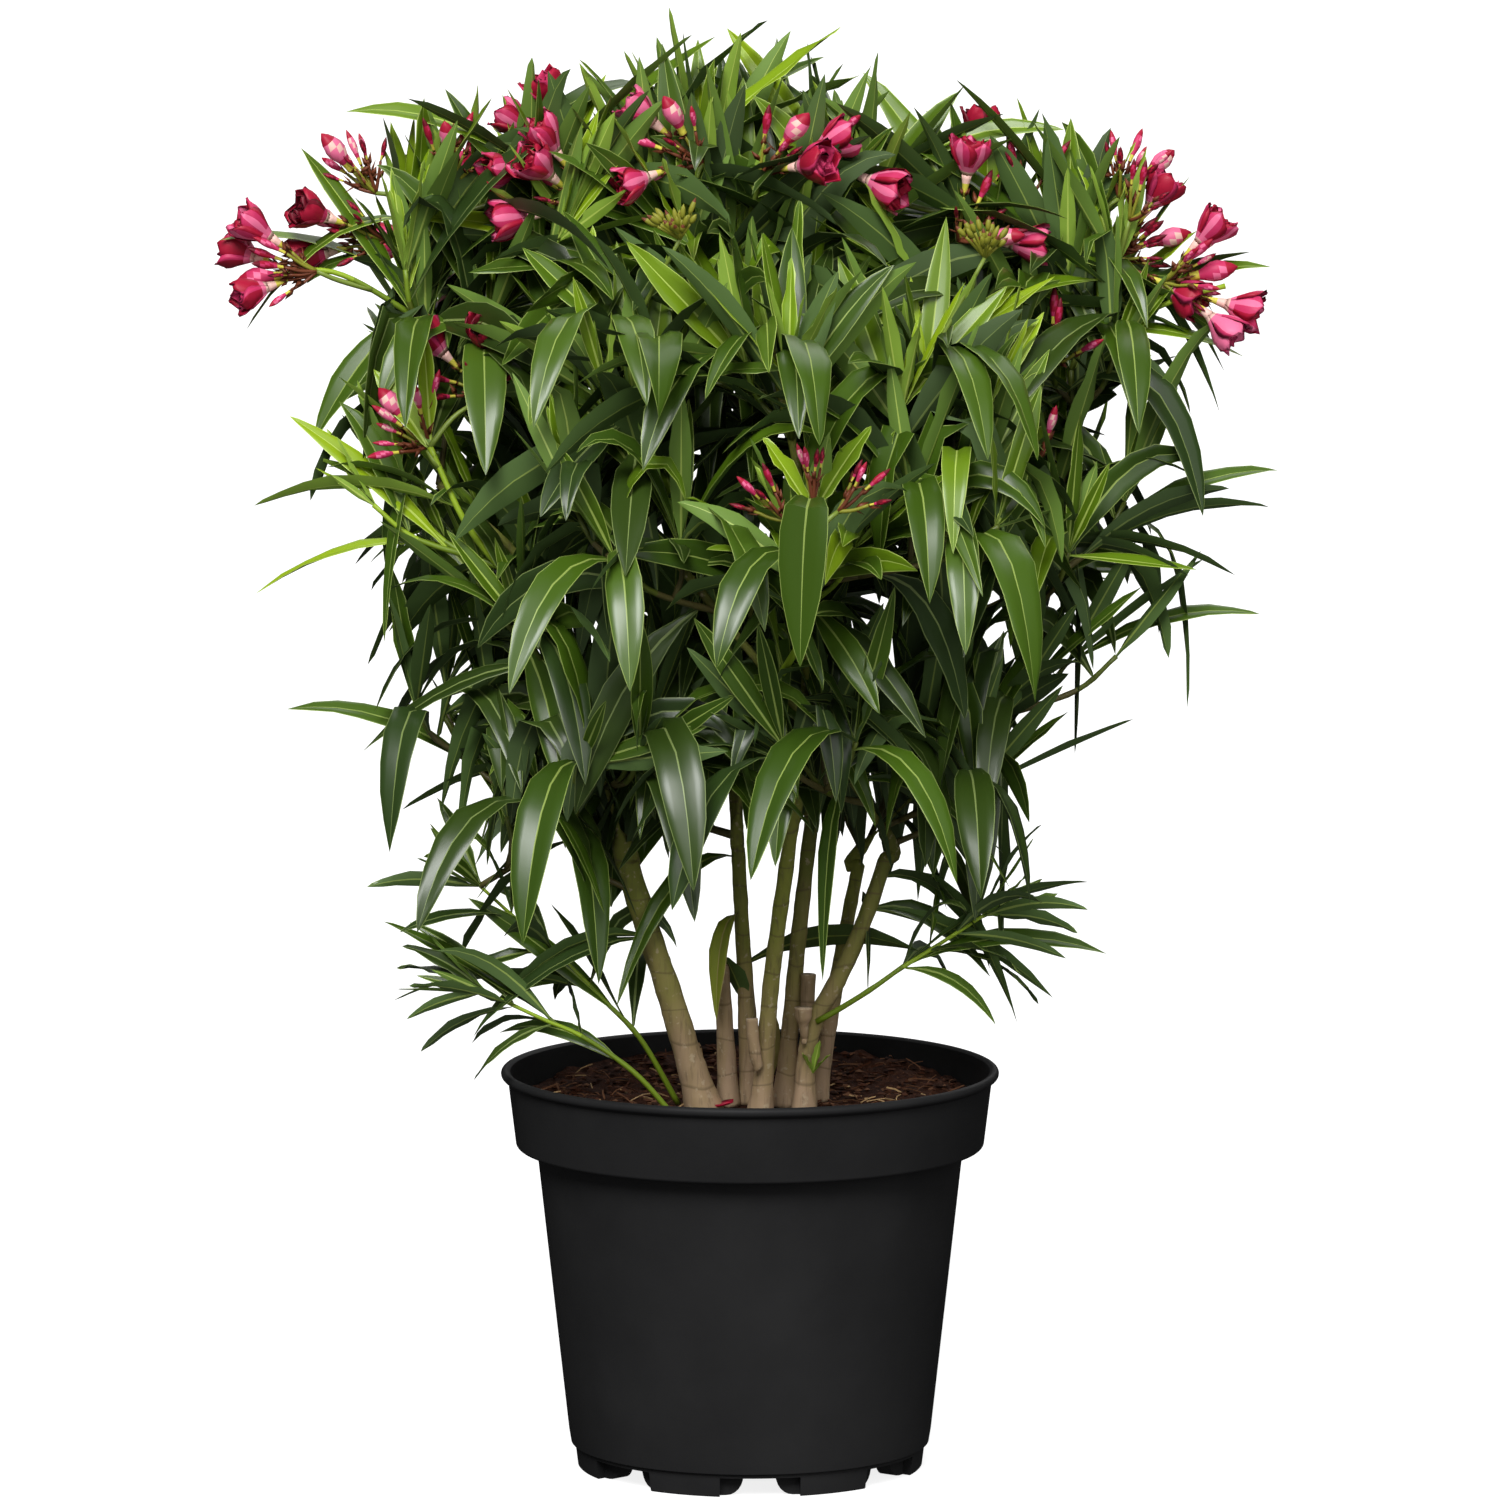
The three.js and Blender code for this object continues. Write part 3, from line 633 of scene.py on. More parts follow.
def make_compost():
    ground = surface_of("soil")
    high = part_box("soil")[1]
    rim = high.x - 0.0004

    def rough_top(x, y):
        hit = ground.ray_cast(Vector((x, y, high.z + 0.01)), Vector((0, 0, -1)))[0]
        away = min(1.0, math.hypot(x, y) / 0.03)
        spot = Vector((x, y, 0))
        lumps = noise.fractal(spot * 70, 0.7, 2.2, 5) * 0.0032
        lumps += noise.fractal(spot * 260, 0.8, 2.0, 3) * 0.0011
        return (hit.z if hit else high.z) + lumps * (0.35 + 0.65 * away)

    points = [(0, 0, rough_top(0, 0))]
    for i in range(1, SOIL_RINGS + 1):
        radius = rim * 0.995 * i / SOIL_RINGS
        for k in range(SOIL_SPOKES):
            angle = FULL_TURN * k / SOIL_SPOKES
            x, y = radius * math.cos(angle), radius * math.sin(angle)
            points.append((x, y, rough_top(x * 0.985, y * 0.985)))
    depth = RIM - SOIL_DEPTH
    points += [(x, y, depth) for x, y, _ in points[-SOIL_SPOKES:]]
    points.append((0, 0, depth))
    faces = []
    for k in range(SOIL_SPOKES):
        n = (k + 1) % SOIL_SPOKES
        faces.append((0, 1 + k, 1 + n))
        for i in range(SOIL_RINGS):
            a, b = 1 + i * SOIL_SPOKES, 1 + (i + 1) * SOIL_SPOKES
            faces.append((a + k, b + k, b + n, a + n))
        end = 1 + SOIL_RINGS * SOIL_SPOKES
        faces.append((end + n, end + k, len(points) - 1))
    heap = Heap("compost")
    heap.add(points, faces, 0)
    finished(heap.piece([compost()]), "soil", "soil")

    dice = random.Random(41)
    crumbs = Heap("compost_crumbs")
    for _ in range(CLODS):
        x, y = somewhere(dice, rim * 0.965, 0.02)
        clod(crumbs, dice, (x, y, rough_top(x, y) - 0.0003), dice.uniform(0.0011, 0.0036))
    for number in range(FIBRES):
        if number < STRAW:
            x, y = (dice.gauss(*spread) for spread in STRAW_PATCH)
            past = max(1.0, math.hypot(x, y) / (rim * 0.9))
            x, y = x / past, y / past
        else:
            x, y = somewhere(dice, rim * 0.95, 0.03)
        straw = number < STRAW or dice.random() < 0.18
        fibre(crumbs, dice, (x, y, rough_top(x, y) + 0.0008), straw)
    tones = [plain_material(name, colour, *looks) for name, (colour, *looks) in CRUMB_TONES.items()]
    finished(crumbs.piece(tones, CRUMB_CREASE), "soil")


def clod(heap, dice, place, size):
    """A crumb: an uneven stone-like lump of a few faces."""
    points, starts = [], []
    squash = np.array([dice.uniform(0.7, 1.4), dice.uniform(0.7, 1.2), dice.uniform(0.5, 0.9)]) * size
    turn = dice.uniform(0, FULL_TURN)
    for level, (radius, height, count) in enumerate(CLOD_RINGS):
        starts.append(len(points))
        for k in range(count):
            angle = turn + FULL_TURN * k / count + level * GOLDEN_ANGLE
            spot = np.array([radius * math.cos(angle), radius * math.sin(angle), height])
            points.append(spot * squash * dice.uniform(0.75, 1.2))
    faces = []
    top, upper, lower, base = starts
    for k in range(5):
        n = (k + 1) % 5
        faces += [(top, upper + k, upper + n), (base, lower + n, lower + k)]
        faces += [(upper + k, lower + k, lower + n), (upper + k, lower + n, upper + n)]
    heap.add(np.array(points) + np.array(place), faces, dice.choice([0, 0, 1, 1, 1, 2]))


def fibre(heap, dice, place, straw):
    """A short bent shred of peat or straw."""
    length = dice.uniform(0.006, 0.017)
    heading = dice.uniform(0, FULL_TURN)
    lift = dice.uniform(-0.1, 0.5)
    along = np.array([math.cos(heading) * math.cos(lift), math.sin(heading) * math.cos(lift), math.sin(lift)])
    bend = np.array([dice.uniform(-1, 1), dice.uniform(-1, 1), dice.uniform(0.1, 0.6)]) * length * 0.18
    start = np.array(place) - along * length / 2
    path = smooth_path([start, start + along * length * 0.5 + bend, start + along * length], length / 3)
    thick = dice.uniform(0.00025, 0.0006)
    tube(heap, path, [thick] * len(path), 3, 3 if straw else dice.choice([1, 2, 2]))


# ---------------------------------------------------------------- the canes that stand on the compost
SCAR_WIDTH, SCAR_SWELL = 0.0016, 0.055
FLARE_HEIGHT, FLARE_SWELL = 0.02, 0.09


def spine(node, axis, count):
    """Centres and mean radii of a limb of the frame, sliced square to one axis from its low end."""
    mesh = frame["nodes"][node].data
    points = np.array([v.co for v in mesh.vertices])
    edges = set()
    for polygon in mesh.polygons:
        corners = list(polygon.vertices)
        edges.update(tuple(sorted(pair)) for pair in zip(corners, corners[1:] + corners[:1]))
    pairs = np.array(sorted(edges))
    a, b = points[pairs[:, 0]], points[pairs[:, 1]]
    centres, radii = [], []
    for level in np.linspace(points[:, axis].min() + 0.0004, points[:, axis].max() - 0.0012, count):
        crossing = (a[:, axis] - level) * (b[:, axis] - level) < 0
        p, q = a[crossing], b[crossing]
        cut = p + (q - p) * ((level - p[:, axis]) / (q[:, axis] - p[:, axis]))[:, None]
        centres.append((cut.min(0) + cut.max(0)) / 2)
        radii.append(np.percentile(np.linalg.norm(cut - centres[-1], axis=1), 12))
    return np.array(centres), np.array(radii)


def barked(name, path, radii, sides, seed, foot, knots=0.9):
    """A closed cane with leaf scars, low ribs and small bumps in its surface, flared at its foot."""
    _, across, over = path_frames(path)
    path[0][2] = foot
    across[0], over[0] = unit(across[0] * LEVEL), unit(np.cross(UP, across[0] * LEVEL))
    dice = random.Random(seed)
    run = run_along(path)
    scars = []
    place = dice.uniform(0.006, 0.014)
    while place < run[-1]:
        scars.append((place, dice.uniform(0, FULL_TURN)))
        place += dice.uniform(0.012, 0.026)
    points = []
    for i, centre in enumerate(path):
        low = max(0.0, 1 - run[i] / FLARE_HEIGHT)
        for k in range(sides):
            angle = FULL_TURN * k / sides
            spot = Vector((math.cos(angle) * 1.6, math.sin(angle) * 1.6, run[i] * 45 + seed))
            swell = 0.05 * noise.noise(spot) + 0.025 * noise.noise(spot * 3.1)
            for scar, turn in scars:
                near = (run[i] - scar) / SCAR_WIDTH
                if abs(near) < 3:
                    three = 0.55 + 0.45 * math.cos(3 * (angle - turn))
                    swell += knots * SCAR_SWELL * math.exp(-near * near) * three
            swell += FLARE_SWELL * low * math.cos(3 * angle + seed)
            points.append(centre + swung(across[i], over[i], angle) * radii[i] * (1 + swell))
    faces = ring_faces(len(path), sides)
    heap = Heap(name)
    heap.add(points, faces, [0] * (len(faces) - 1) + [1])
    return heap


# ---------------------------------------------------------------- leaves
LEAF_OUTLINE = [  # how far along a leaf, and how wide it is there
    (0.0, 0.0), (0.02, 0.15), (0.09, 0.26), (0.2, 0.58), (0.33, 0.88), (0.47, 1.0),
    (0.61, 0.97), (0.74, 0.8), (0.86, 0.52), (0.95, 0.22), (1.0, 0.0),
]
OUTLINE_T = np.array([t for t, _ in LEAF_OUTLINE])
OUTLINE_W = np.array([w for _, w in LEAF_OUTLINE])
LEAF_MIDDLE = 6  # the point of the outline past a leaf's middle
RIB = 0.00085  # half the midrib's width at the foot of a leaf
MARGIN = 0.0004
LEAF_CREASE = 60  # a leaf keeps a sharp edge between its two faces, in degrees
COARSE, FINE = 6, 8  # points across a leaf; a fine one has a pale margin
# how far a leaf is folded, how much it twists, and how high its waves are
SHOOT_LEAF = ((0.1, 0.36), 0.45, (0, 0.0003, 0.0006, 0.0014))
LONE_LEAF = ((0.08, 0.25), 0.25, (0.0005,))
FRONT_LEAF = ((0.08, 0.3), 0.5, (0.0004, 0.0008, 0.0014))


def blade_faces(columns):
    """Faces of one blade: its foot, rings of top points with two more under the midrib, and its tip."""
    rings = len(OUTLINE_T) - 2
    tip = 1 + rings * (columns + 2)
    bands = [(k, k + 1, "blade") for k in range(columns - 1)]
    bands[(columns - 1) // 2] = (*bands[(columns - 1) // 2][:2], "rib")
    if columns == FINE:
        bands[0], bands[-1] = (*bands[0][:2], "rib"), (*bands[-1][:2], "rib")
    under = [(0, columns, "under"), (columns, columns + 1, "rib"), (columns + 1, columns - 1, "under")]
    faces, parts = [], []

    def at(i, k):
        return 1 + i * (columns + 2) + k

    for a, b, part in bands:
        faces += [(0, at(0, a), at(0, b)), (at(rings - 1, a), tip, at(rings - 1, b))]
        faces += [(at(i, a), at(i + 1, a), at(i + 1, b), at(i, b)) for i in range(rings - 1)]
        parts += [part] * (rings + 1)
    for a, b, part in under:
        faces += [(0, at(0, b), at(0, a)), (at(rings - 1, a), at(rings - 1, b), tip)]
        faces += [(at(i, a), at(i, b), at(i + 1, b), at(i + 1, a)) for i in range(rings - 1)]
        parts += [part] * (rings + 1)
    return faces, parts


BLADES = {columns: blade_faces(columns) for columns in (COARSE, FINE)}
MATERIALS, NUMBER = leaf_materials()


def arched_line(base, heading, droop, length):
    """The midrib of a leaf that sets off along heading and bends down more and more under its own weight."""
    middles = (OUTLINE_T[1:] + OUTLINE_T[:-1]) / 2
    ways = units(heading + np.outer(middles**1.4, [0, 0, -droop]))
    return base + np.vstack([[0, 0, 0], np.cumsum(ways * np.diff(OUTLINE_T)[:, None] * length, axis=0)])


def bent_line(base, bend, tip):
    t = OUTLINE_T[:, None]
    return base * (1 - t) ** 2 + 2 * bend * t * (1 - t) + tip * t**2


def blade(heap, dice, line, across, width, age, tone, columns, way):
    """One leaf along a line, flat along the direction across."""
    folds, twists, waves = way
    fold, twist = dice.uniform(*folds), dice.gauss(0, twists)
    wave = dice.choice(waves) if len(waves) > 1 else waves[0]
    phase = dice.uniform(0, ROUND)
    tangents = units(np.gradient(line, axis=0))
    side = units(across - tangents * (tangents @ across)[:, None])
    over = np.cross(tangents, side)
    spin = (twist * OUTLINE_T)[:, None]
    side, over = side * np.cos(spin) + over * np.sin(spin), over * np.cos(spin) - side * np.sin(spin)
    half = width / 2 * OUTLINE_W
    rib = np.minimum(RIB * (1.05 - OUTLINE_T), half * 0.3)
    points = [line[0]]
    for i in range(1, len(OUTLINE_T) - 1):
        h, r = half[i], rib[i]
        right = [r, (r + h) / 2, max(h - MARGIN, h * 0.75), h]
        if columns == COARSE:
            del right[2]
        for x in [-x for x in reversed(right)] + right:
            share = abs(x) / h
            lift = h * (fold * share + 0.15 * (1 - (2 * share - 1) ** 2))
            lift += wave * share**2 * math.sin(17 * OUTLINE_T[i] + phase + (1.9 if x > 0 else 0))
            points.append(line[i] + side[i] * x + over[i] * lift)
        for x in (-r, r):
            points.append(line[i] + side[i] * x - over[i] * (0.0003 + 0.02 * h))
    points.append(line[-1])
    faces, parts = BLADES[columns]
    slots = {"blade": NUMBER[age, tone % len(LEAF_TONES[age][0])]}
    slots.update((part, NUMBER[age, part]) for part in ("rib", "under"))
    heap.add(points, faces, [slots[part] for part in parts])


def drooping_leaf(heap, dice, base, heading, droop, across, length, width, age, tone, columns, room):
    """A leaf that grows where the crown has room for it, or not at all."""
    for attempt in range(5):
        size = length * (1 - 0.06 * attempt)
        first = unit(heading + stray(dice, 1, 1, 1) * 0.1 * attempt)
        line = arched_line(base, first, droop, size)
        if is_free(line[-1], room) and is_free(line[LEAF_MIDDLE], room):
            blade(heap, dice, line, across, width, age, tone, columns, SHOOT_LEAF)
            return


# ---------------------------------------------------------------- the frame's masses and limbs
HALF_X = (CAD_BOX[1][0] - CAD_BOX[0][0]) / 2
HALF_Y = (CAD_BOX[1][1] - CAD_BOX[0][1]) / 2
TOP = CAD_BOX[1][2]
CROWN = TOP - RIM
STANDS_OUT = 4.6  # the faces at the end of a long leaf add up to less than this, in radians
OVER_POT = 0.155  # nearer to the middle than this, a leaf stays above the container
CLEAR_OF_RIM, CLEAR_OF_TOP = 0.018, 0.004
TOP_KIND, SIDE_KIND = 0.68, 0.42  # how high in the crown its upright and its arching shoots begin
BACK = 0.045  # leaves further back than this go to the pieces of the back
HALFWAY, LOW_END, MIDDLE_END = 0.52, 0.38, 0.66  # where those pieces end, as shares of the crown's height
NEAR_SIDE = 0.03  # leaves on shoots further back than this are coarser


def sharp_points(mesh):
    """The corners of a solid that stand out of it: the faces there meet at much less than a full turn."""
    turns = {}
    for polygon in mesh.polygons:
        corners = [mesh.vertices[k].co for k in polygon.vertices]
        for before, corner, after in zip(corners[-1:] + corners[:-1], corners, corners[1:] + corners[:1]):
            key = tuple(round(value, 5) for value in corner)
            turns[key] = turns.get(key, 0.0) + (before - corner).angle(after - corner, 0.0)
    return [np.array(key) for key, turn in sorted(turns.items()) if turn < STANDS_OUT]


class Mass:
    """One mass of the crown: its rounded core and the ends of its furthest leaves."""

    def __init__(self, name):
        mesh = frame["nodes"][name].data
        corners = np.array([v.co for v in mesh.vertices])
        self.name = name
        self.centre = np.median(corners, axis=0)
        self.half = np.median(np.abs(corners - self.centre), axis=0) * 2
        self.tips = sharp_points(mesh)
        self.height = (self.centre[2] - RIM) / CROWN
        self.young = SLOT_OF[name] == "young_leaf"

    def place(self, right, back, up):
        """A place in the core: 0 is its middle, and -1 and 1 are its two ends each way."""
        return self.centre + self.half * np.array([right, back, up])

    def kind(self):
        """How shoots grow here: upright on top, drooping low down, with buds in the young sprays between."""
        if self.name.startswith("low_sprig"):
            return "sprig"
        if self.young and self.height < 0.7:
            return "bud"
        return "crown" if self.height > TOP_KIND else "side" if self.height > SIDE_KIND else "hang"


def nodes_of(*slots):
    return [name for name in frame["nodes"] if SLOT_OF[name] in slots]


SLOT_OF = {part["node"]: part["material_slot"] for part in frame["record"]["subparts"]}
MASSES = {name: Mass(name) for name in nodes_of("leaf", "young_leaf", "blossom")}
CORES = np.array([mass.centre for mass in MASSES.values()])
SPANS = np.array([mass.half for mass in MASSES.values()])
LEAF_PARTS = ("low", "middle", "top", "back_low", "back_top")
LEAF_HEAPS = ["leaves_" + part for part in LEAF_PARTS] + ["young_leaves"]
HEAPS = {name: Heap(name) for name in [*LEAF_HEAPS, "twigs", "blossom"]}
STEMS = []  # the places and radii of limbs and shoots that more can grow from


def is_free(place, room):
    """True where a leaf may be: in, between or close to the crown's masses, and clear of the pot."""
    if math.hypot(place[0], place[1]) < OVER_POT and place[2] < RIM + CLEAR_OF_RIM:
        return False
    if place[2] > TOP - CLEAR_OF_TOP or abs(place[0]) > HALF_X or abs(place[1]) > HALF_Y:
        return False
    apart = (((place - CORES) / SPANS) ** 2).sum(1)
    return bool(np.exp(-apart).sum() > math.exp(-(room**2)))


def heap_for(place, age):
    """The piece a leaf belongs to, by its age, its side and its height in the crown."""
    share = (place[2] - RIM) / CROWN
    if age in ("lime", "fresh", "dying"):
        return HEAPS["young_leaves"]
    if place[1] > BACK:
        return HEAPS["leaves_back_low" if share < HALFWAY else "leaves_back_top"]
    return HEAPS["leaves_low" if share < LOW_END else "leaves_middle" if share < MIDDLE_END else "leaves_top"]


def nearest_stem(place, lower=0.0):
    """The place and radius on the limbs and shoots closest to here, at least so much lower."""
    stems = np.array([stem for stem, _ in STEMS])
    gaps = np.linalg.norm(stems - place, axis=1) + (stems[:, 2] > place[2] - lower) * 10
    return STEMS[int(np.argmin(gaps))]


# ---------------------------------------------------------------- shoots
WAYS = ["whorls", "first", "sizes", "widths", "ages", "spread", "droops", "stem", "roll", "room"]
KINDS = {  # pairs of values go from the lowest whorl to the top one; sizes are in millimetres
    "crown": (4, 0.25, (138, 104), (21, 15), (2.7, 0.8), (48, 14), (0.9, 0.05), ("olive", "green"), 0.6, 1.1),
    "side": (4, 0.2, (156, 128), (20, 16), (2.9, 1.8), (66, 36), (3.0, 1.4), ("woody", "olive"), 0.8, 1.04),
    "hang": (4, 0.3, (150, 126), (19, 15), (3.1, 2.5), (74, 50), (3.8, 2.4), ("woody", "olive"), 0.9, 1.0),
    "sprig": (5, 0.3, (88, 64), (11, 8), (3.0, 2.3), (62, 26), (1.5, 0.5), ("green", "lime"), 0.9, 2.1),
    "bud": (3, 0.25, (112, 72), (18, 13), (1.9, 0.4), (52, 24), (0.9, 0.15), ("green", "lime"), 0.6, 1.06),
}
RISES = {  # how high in a mass its shoots end, from its middle, in halves of its height
    "crown": (-1.0, -0.35), "bud": (-0.35, 0.25), "side": (-0.25, 0.35), "hang": (-0.25, 0.35),
    "sprig": (-0.25, 0.35),
}
AGE_STEPS = ["lime", "fresh", "leafy", "old"]
JOINT, JOINT_SWELL = 0.0028, 0.16  # how long the swelling at a whorl is, and how much of the radius
TUFT = {"leaves": 5, "turn": 2.4, "size": (0.84, 0.09), "lean": (0.42, 0.06)}
LOWER = 0.03  # how much lower than its goal a shoot leaves its limb


def between(pair, share):
    return pair[0] + (pair[1] - pair[0]) * share


def shoot(kind, points, radii, seed, tuft=True, **changes):
    """A jointed stem with whorls of three leaves and, where told, a tuft at its end."""
    way = {**dict(zip(WAYS, KINDS[kind])), **changes}
    dice = random.Random(seed)
    path = smooth_path(points, 0.006)
    run = np.linspace(0, 1, len(path))
    length = np.linalg.norm(np.diff(path, axis=0), axis=1).sum()
    whorls, first, room = way["whorls"], way["first"], way["room"]
    joints = [first + (1 - first) * (k / max(1, whorls - 1)) ** 0.8 for k in range(whorls)]
    widen = sum(np.exp(-(((run - j) * length / JOINT) ** 2)) for j in joints)
    thick = (radii[0] + (radii[1] - radii[0]) * run) * MM * (1 + JOINT_SWELL * widen)
    low, high = (list(STEM_GREENS).index(name) for name in way["stem"])
    tube(HEAPS["twigs"], path, thick, 7, [int(round(low + (high - low) * s)) for s in run])
    STEMS.extend(zip(path[2:], thick[2:]))
    tangents, side, over = path_frames(path)
    turn = dice.uniform(0, FULL_TURN)
    for k, joint in enumerate(joints):
        s = k / max(1, whorls - 1)
        i = min(len(path) - 1, int(round(joint * (len(path) - 1))))
        columns = FINE if path[i][1] < NEAR_SIDE else COARSE
        for j in range(3):
            angle = turn + 2 * math.pi * j / 3 + math.pi / 3 * k + dice.gauss(0, 0.13)
            out = swung(side[i], over[i], angle)
            heading = swung(tangents[i], out, math.radians(between(way["spread"], s) + dice.gauss(0, 8)))
            droop = between(way["droops"], s) * dice.uniform(0.5, 1.5)
            size = between(way["sizes"], s) * MM * dice.uniform(0.84, 1.1)
            width = between(way["widths"], s) * MM * dice.uniform(0.88, 1.1)
            age = AGE_STEPS[int(min(3, max(0, round(between(way["ages"], s) + dice.gauss(0, 0.45)))))]
            across = unit(0.4 * np.cross(tangents[i], out) + 0.6 * level_across(heading))
            across = turned(across, unit(heading), dice.gauss(0, way["roll"]))
            base = path[i] + out * thick[i] * 0.7
            heap, tone = heap_for(path[i], age), dice.randrange(4)
            drooping_leaf(heap, dice, base, heading, droop, across, size, width, age, tone, columns, room)
    if not tuft:
        return
    tip, aim = path[-1], tangents[-1]
    age = AGE_STEPS[max(0, int(way["ages"][1] - 0.4))]
    columns = FINE if tip[1] < NEAR_SIDE else COARSE
    for j in range(TUFT["leaves"]):
        out = turned(side[-1], aim, turn + TUFT["turn"] * j)
        size = way["sizes"][1] * MM * (TUFT["size"][0] - TUFT["size"][1] * j)
        heading = swung(aim, out, TUFT["lean"][0] - TUFT["lean"][1] * j)
        across = unit(np.cross(aim, out))
        heap, base = heap_for(tip, age), tip - aim * 0.002
        drooping_leaf(heap, dice, base, heading, 0.05, across, size, size * 0.13, age, j, columns, room)


def grown_way(start, goal):
    """A shoot's way from the limb that carries it: outward first, then up into its place."""
    gap = np.linalg.norm(goal - start)
    outward = unit((goal - start) * LEVEL) * gap * 0.12
    return [start, (start + goal) / 2 + outward - UP * gap * 0.04, goal]


def bough(mass, seed):
    """The main shoot of a mass, from the nearest limb below to its middle."""
    start, carrier = nearest_stem(mass.centre, LOWER)
    thick = min(2.6, max(1.8, carrier / MM * 0.8))
    stalk_name = mass.name.replace("flower_arm", "flower_stalk")
    if stalk_name in nodes_of("green_stem"):
        low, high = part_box(stalk_name)
        way = [start, np.array((low + high) / 2), mass.centre]
        shoot("bud", way, (thick, 1.4), seed, tuft=False, whorls=2, first=0.2)
    else:
        shoot(mass.kind(), grown_way(start, mass.centre), (thick, 1.5), seed, tuft=False, first=0.45)


def join_masses():
    """Boughs to every mass that no limb runs through, always to the one that is nearest to what has grown."""
    waiting = [mass for mass in MASSES.values() if mass.name not in CLIMBED and mass.kind() != "sprig"]
    while waiting:
        gaps = [np.linalg.norm(nearest_stem(mass.centre, LOWER)[0] - mass.centre) for mass in waiting]
        bough(waiting.pop(int(np.argmin(gaps))), 100 + len(waiting))


def fill(mass, count, seed):
    """Shoots from the nearest limbs, spread over one mass like seeds in a flower head."""
    dice = random.Random(seed)
    kind = mass.kind()
    for n in range(count):
        turn = GOLDEN_ANGLE * n + seed
        flat = 0.66 * math.sqrt((n + 0.5) / count)
        goal = mass.place(flat * math.cos(turn), flat * math.sin(turn), dice.uniform(*RISES[kind]))
        start, _ = nearest_stem(goal, LOWER)
        gap = np.linalg.norm(goal - start)
        bare = min(0.6, max(0.15, 1 - 0.1 / max(gap, 0.1)))
        shoot(kind, grown_way(start, goal), (1.5 + min(1.2, gap * 6), 1.3), seed * 31 + n, first=bare)


# ---------------------------------------------------------------- leaves that make the outline
LONG_LEAF = 0.115
STEEP = 0.45  # a leaf whose tip lies higher or lower than this share of its length stands up or hangs
SECOND_ROOM = 1.3  # how far out of the masses the second leaf at a tip may reach


def long_leaf(base, tip, width, age, dice, roll=0.0):
    """One leaf between two places: it stands up, arches over or hangs, by how its tip lies from its foot."""
    chord = tip - base
    length = np.linalg.norm(chord)
    climbing = chord[2] / length
    level = unit(chord * LEVEL + np.array([0, -1e-4, 0]))
    if climbing > -STEEP:
        bend = base + chord * 0.5 + UP * length * (0.08 if climbing > STEEP else 0.22)
    else:
        bend = base + level * length * 0.34 + UP * length * 0.2 + chord * 0.12
    across = turned(level_across(level), level, roll)
    line, tone = bent_line(base, bend, tip), dice.randrange(4)
    blade(heap_for(base, age), dice, line, across, width * MM, age, tone, FINE, LONE_LEAF)


def foot_for(tip, hangs):
    """Where the leaf of a tip leaves its stem: about a leaf's length away, on the side it grows from."""
    stems = np.array([stem for stem, _ in STEMS])
    gaps = np.linalg.norm(stems - tip, axis=1)
    rises = tip[2] - stems[:, 2]
    wrong = np.maximum(0, rises if hangs else -rises)
    outward = (stems[:, :2] * tip[:2]).sum(1) / max(1e-6, float((tip[:2] ** 2).sum()))
    cost = np.abs(gaps - LONG_LEAF) + 1.5 * wrong + 0.05 * np.maximum(0, outward - 1)
    best = int(np.argmin(cost))
    if gaps[best] < LONG_LEAF * 1.3:
        return stems[best]
    start, _ = nearest_stem(tip)
    end = tip + unit(start - tip) * LONG_LEAF * 0.9
    way = [start, (start + end) / 2 + UP * 0.006, end]
    shoot("hang" if hangs else "bud", way, (1.8, 1.2), 7, tuft=False, whorls=2)
    return end


def tip_leaves(mass, seed):
    """A long leaf to each far point of a mass, and a shorter one that leaves the same joint."""
    dice = random.Random(seed)
    ages = ["lime", "fresh"] if mass.young else ["fresh", "leafy"] if mass.height > 0.7 else ["leafy", "old"]
    for tip in mass.tips:
        base = foot_for(tip, tip[2] < mass.centre[2] - 0.25 * mass.half[2])
        for k, age in enumerate(ages):
            end = tip + (base - tip) * (0.22 * k) + stray(dice, 1, 1, 0.6) * 0.024 * k
            if k and not is_free(end, SECOND_ROOM):
                continue
            width = min(21, max(11, np.linalg.norm(tip - base) / MM * 0.125)) * dice.uniform(0.85, 1.05)
            long_leaf(base, end, width, age, dice, roll=dice.choice([-1, 1]) * dice.uniform(0.35, 1.05))


def front_leaves(mass, count, seed):
    """Broad leaves that arch out of the front of a mass, each its own way, and hang over what is below it."""
    dice = random.Random(seed)
    for n in range(count):
        across = 1.5 * (n + 0.5) / count - 0.75
        base, _ = nearest_stem(mass.place(across, -0.5, dice.uniform(-0.3, 0.7)))
        aside = 1.1 * across + dice.gauss(0, 0.5)
        heading = unit(np.array([aside, -1.0, dice.uniform(0.2, 1.1)]))
        droop = dice.uniform(2.4, 4.4) if mass.height < 0.62 else dice.uniform(1.6, 3.0)
        age = "old" if mass.height < 0.5 and dice.random() < 0.6 else "leafy"
        flat = turned(level_across(heading), heading, dice.gauss(0, 0.35))
        length = dice.uniform(112, 150) * MM
        line = arched_line(base, heading, droop, length)
        line[:, 1] = np.maximum(line[:, 1], 0.004 - HALF_Y)
        width, tone = length * dice.uniform(0.15, 0.185), dice.randrange(4)
        blade(heap_for(base, age), dice, line, flat, width, age, tone, FINE, FRONT_LEAF)


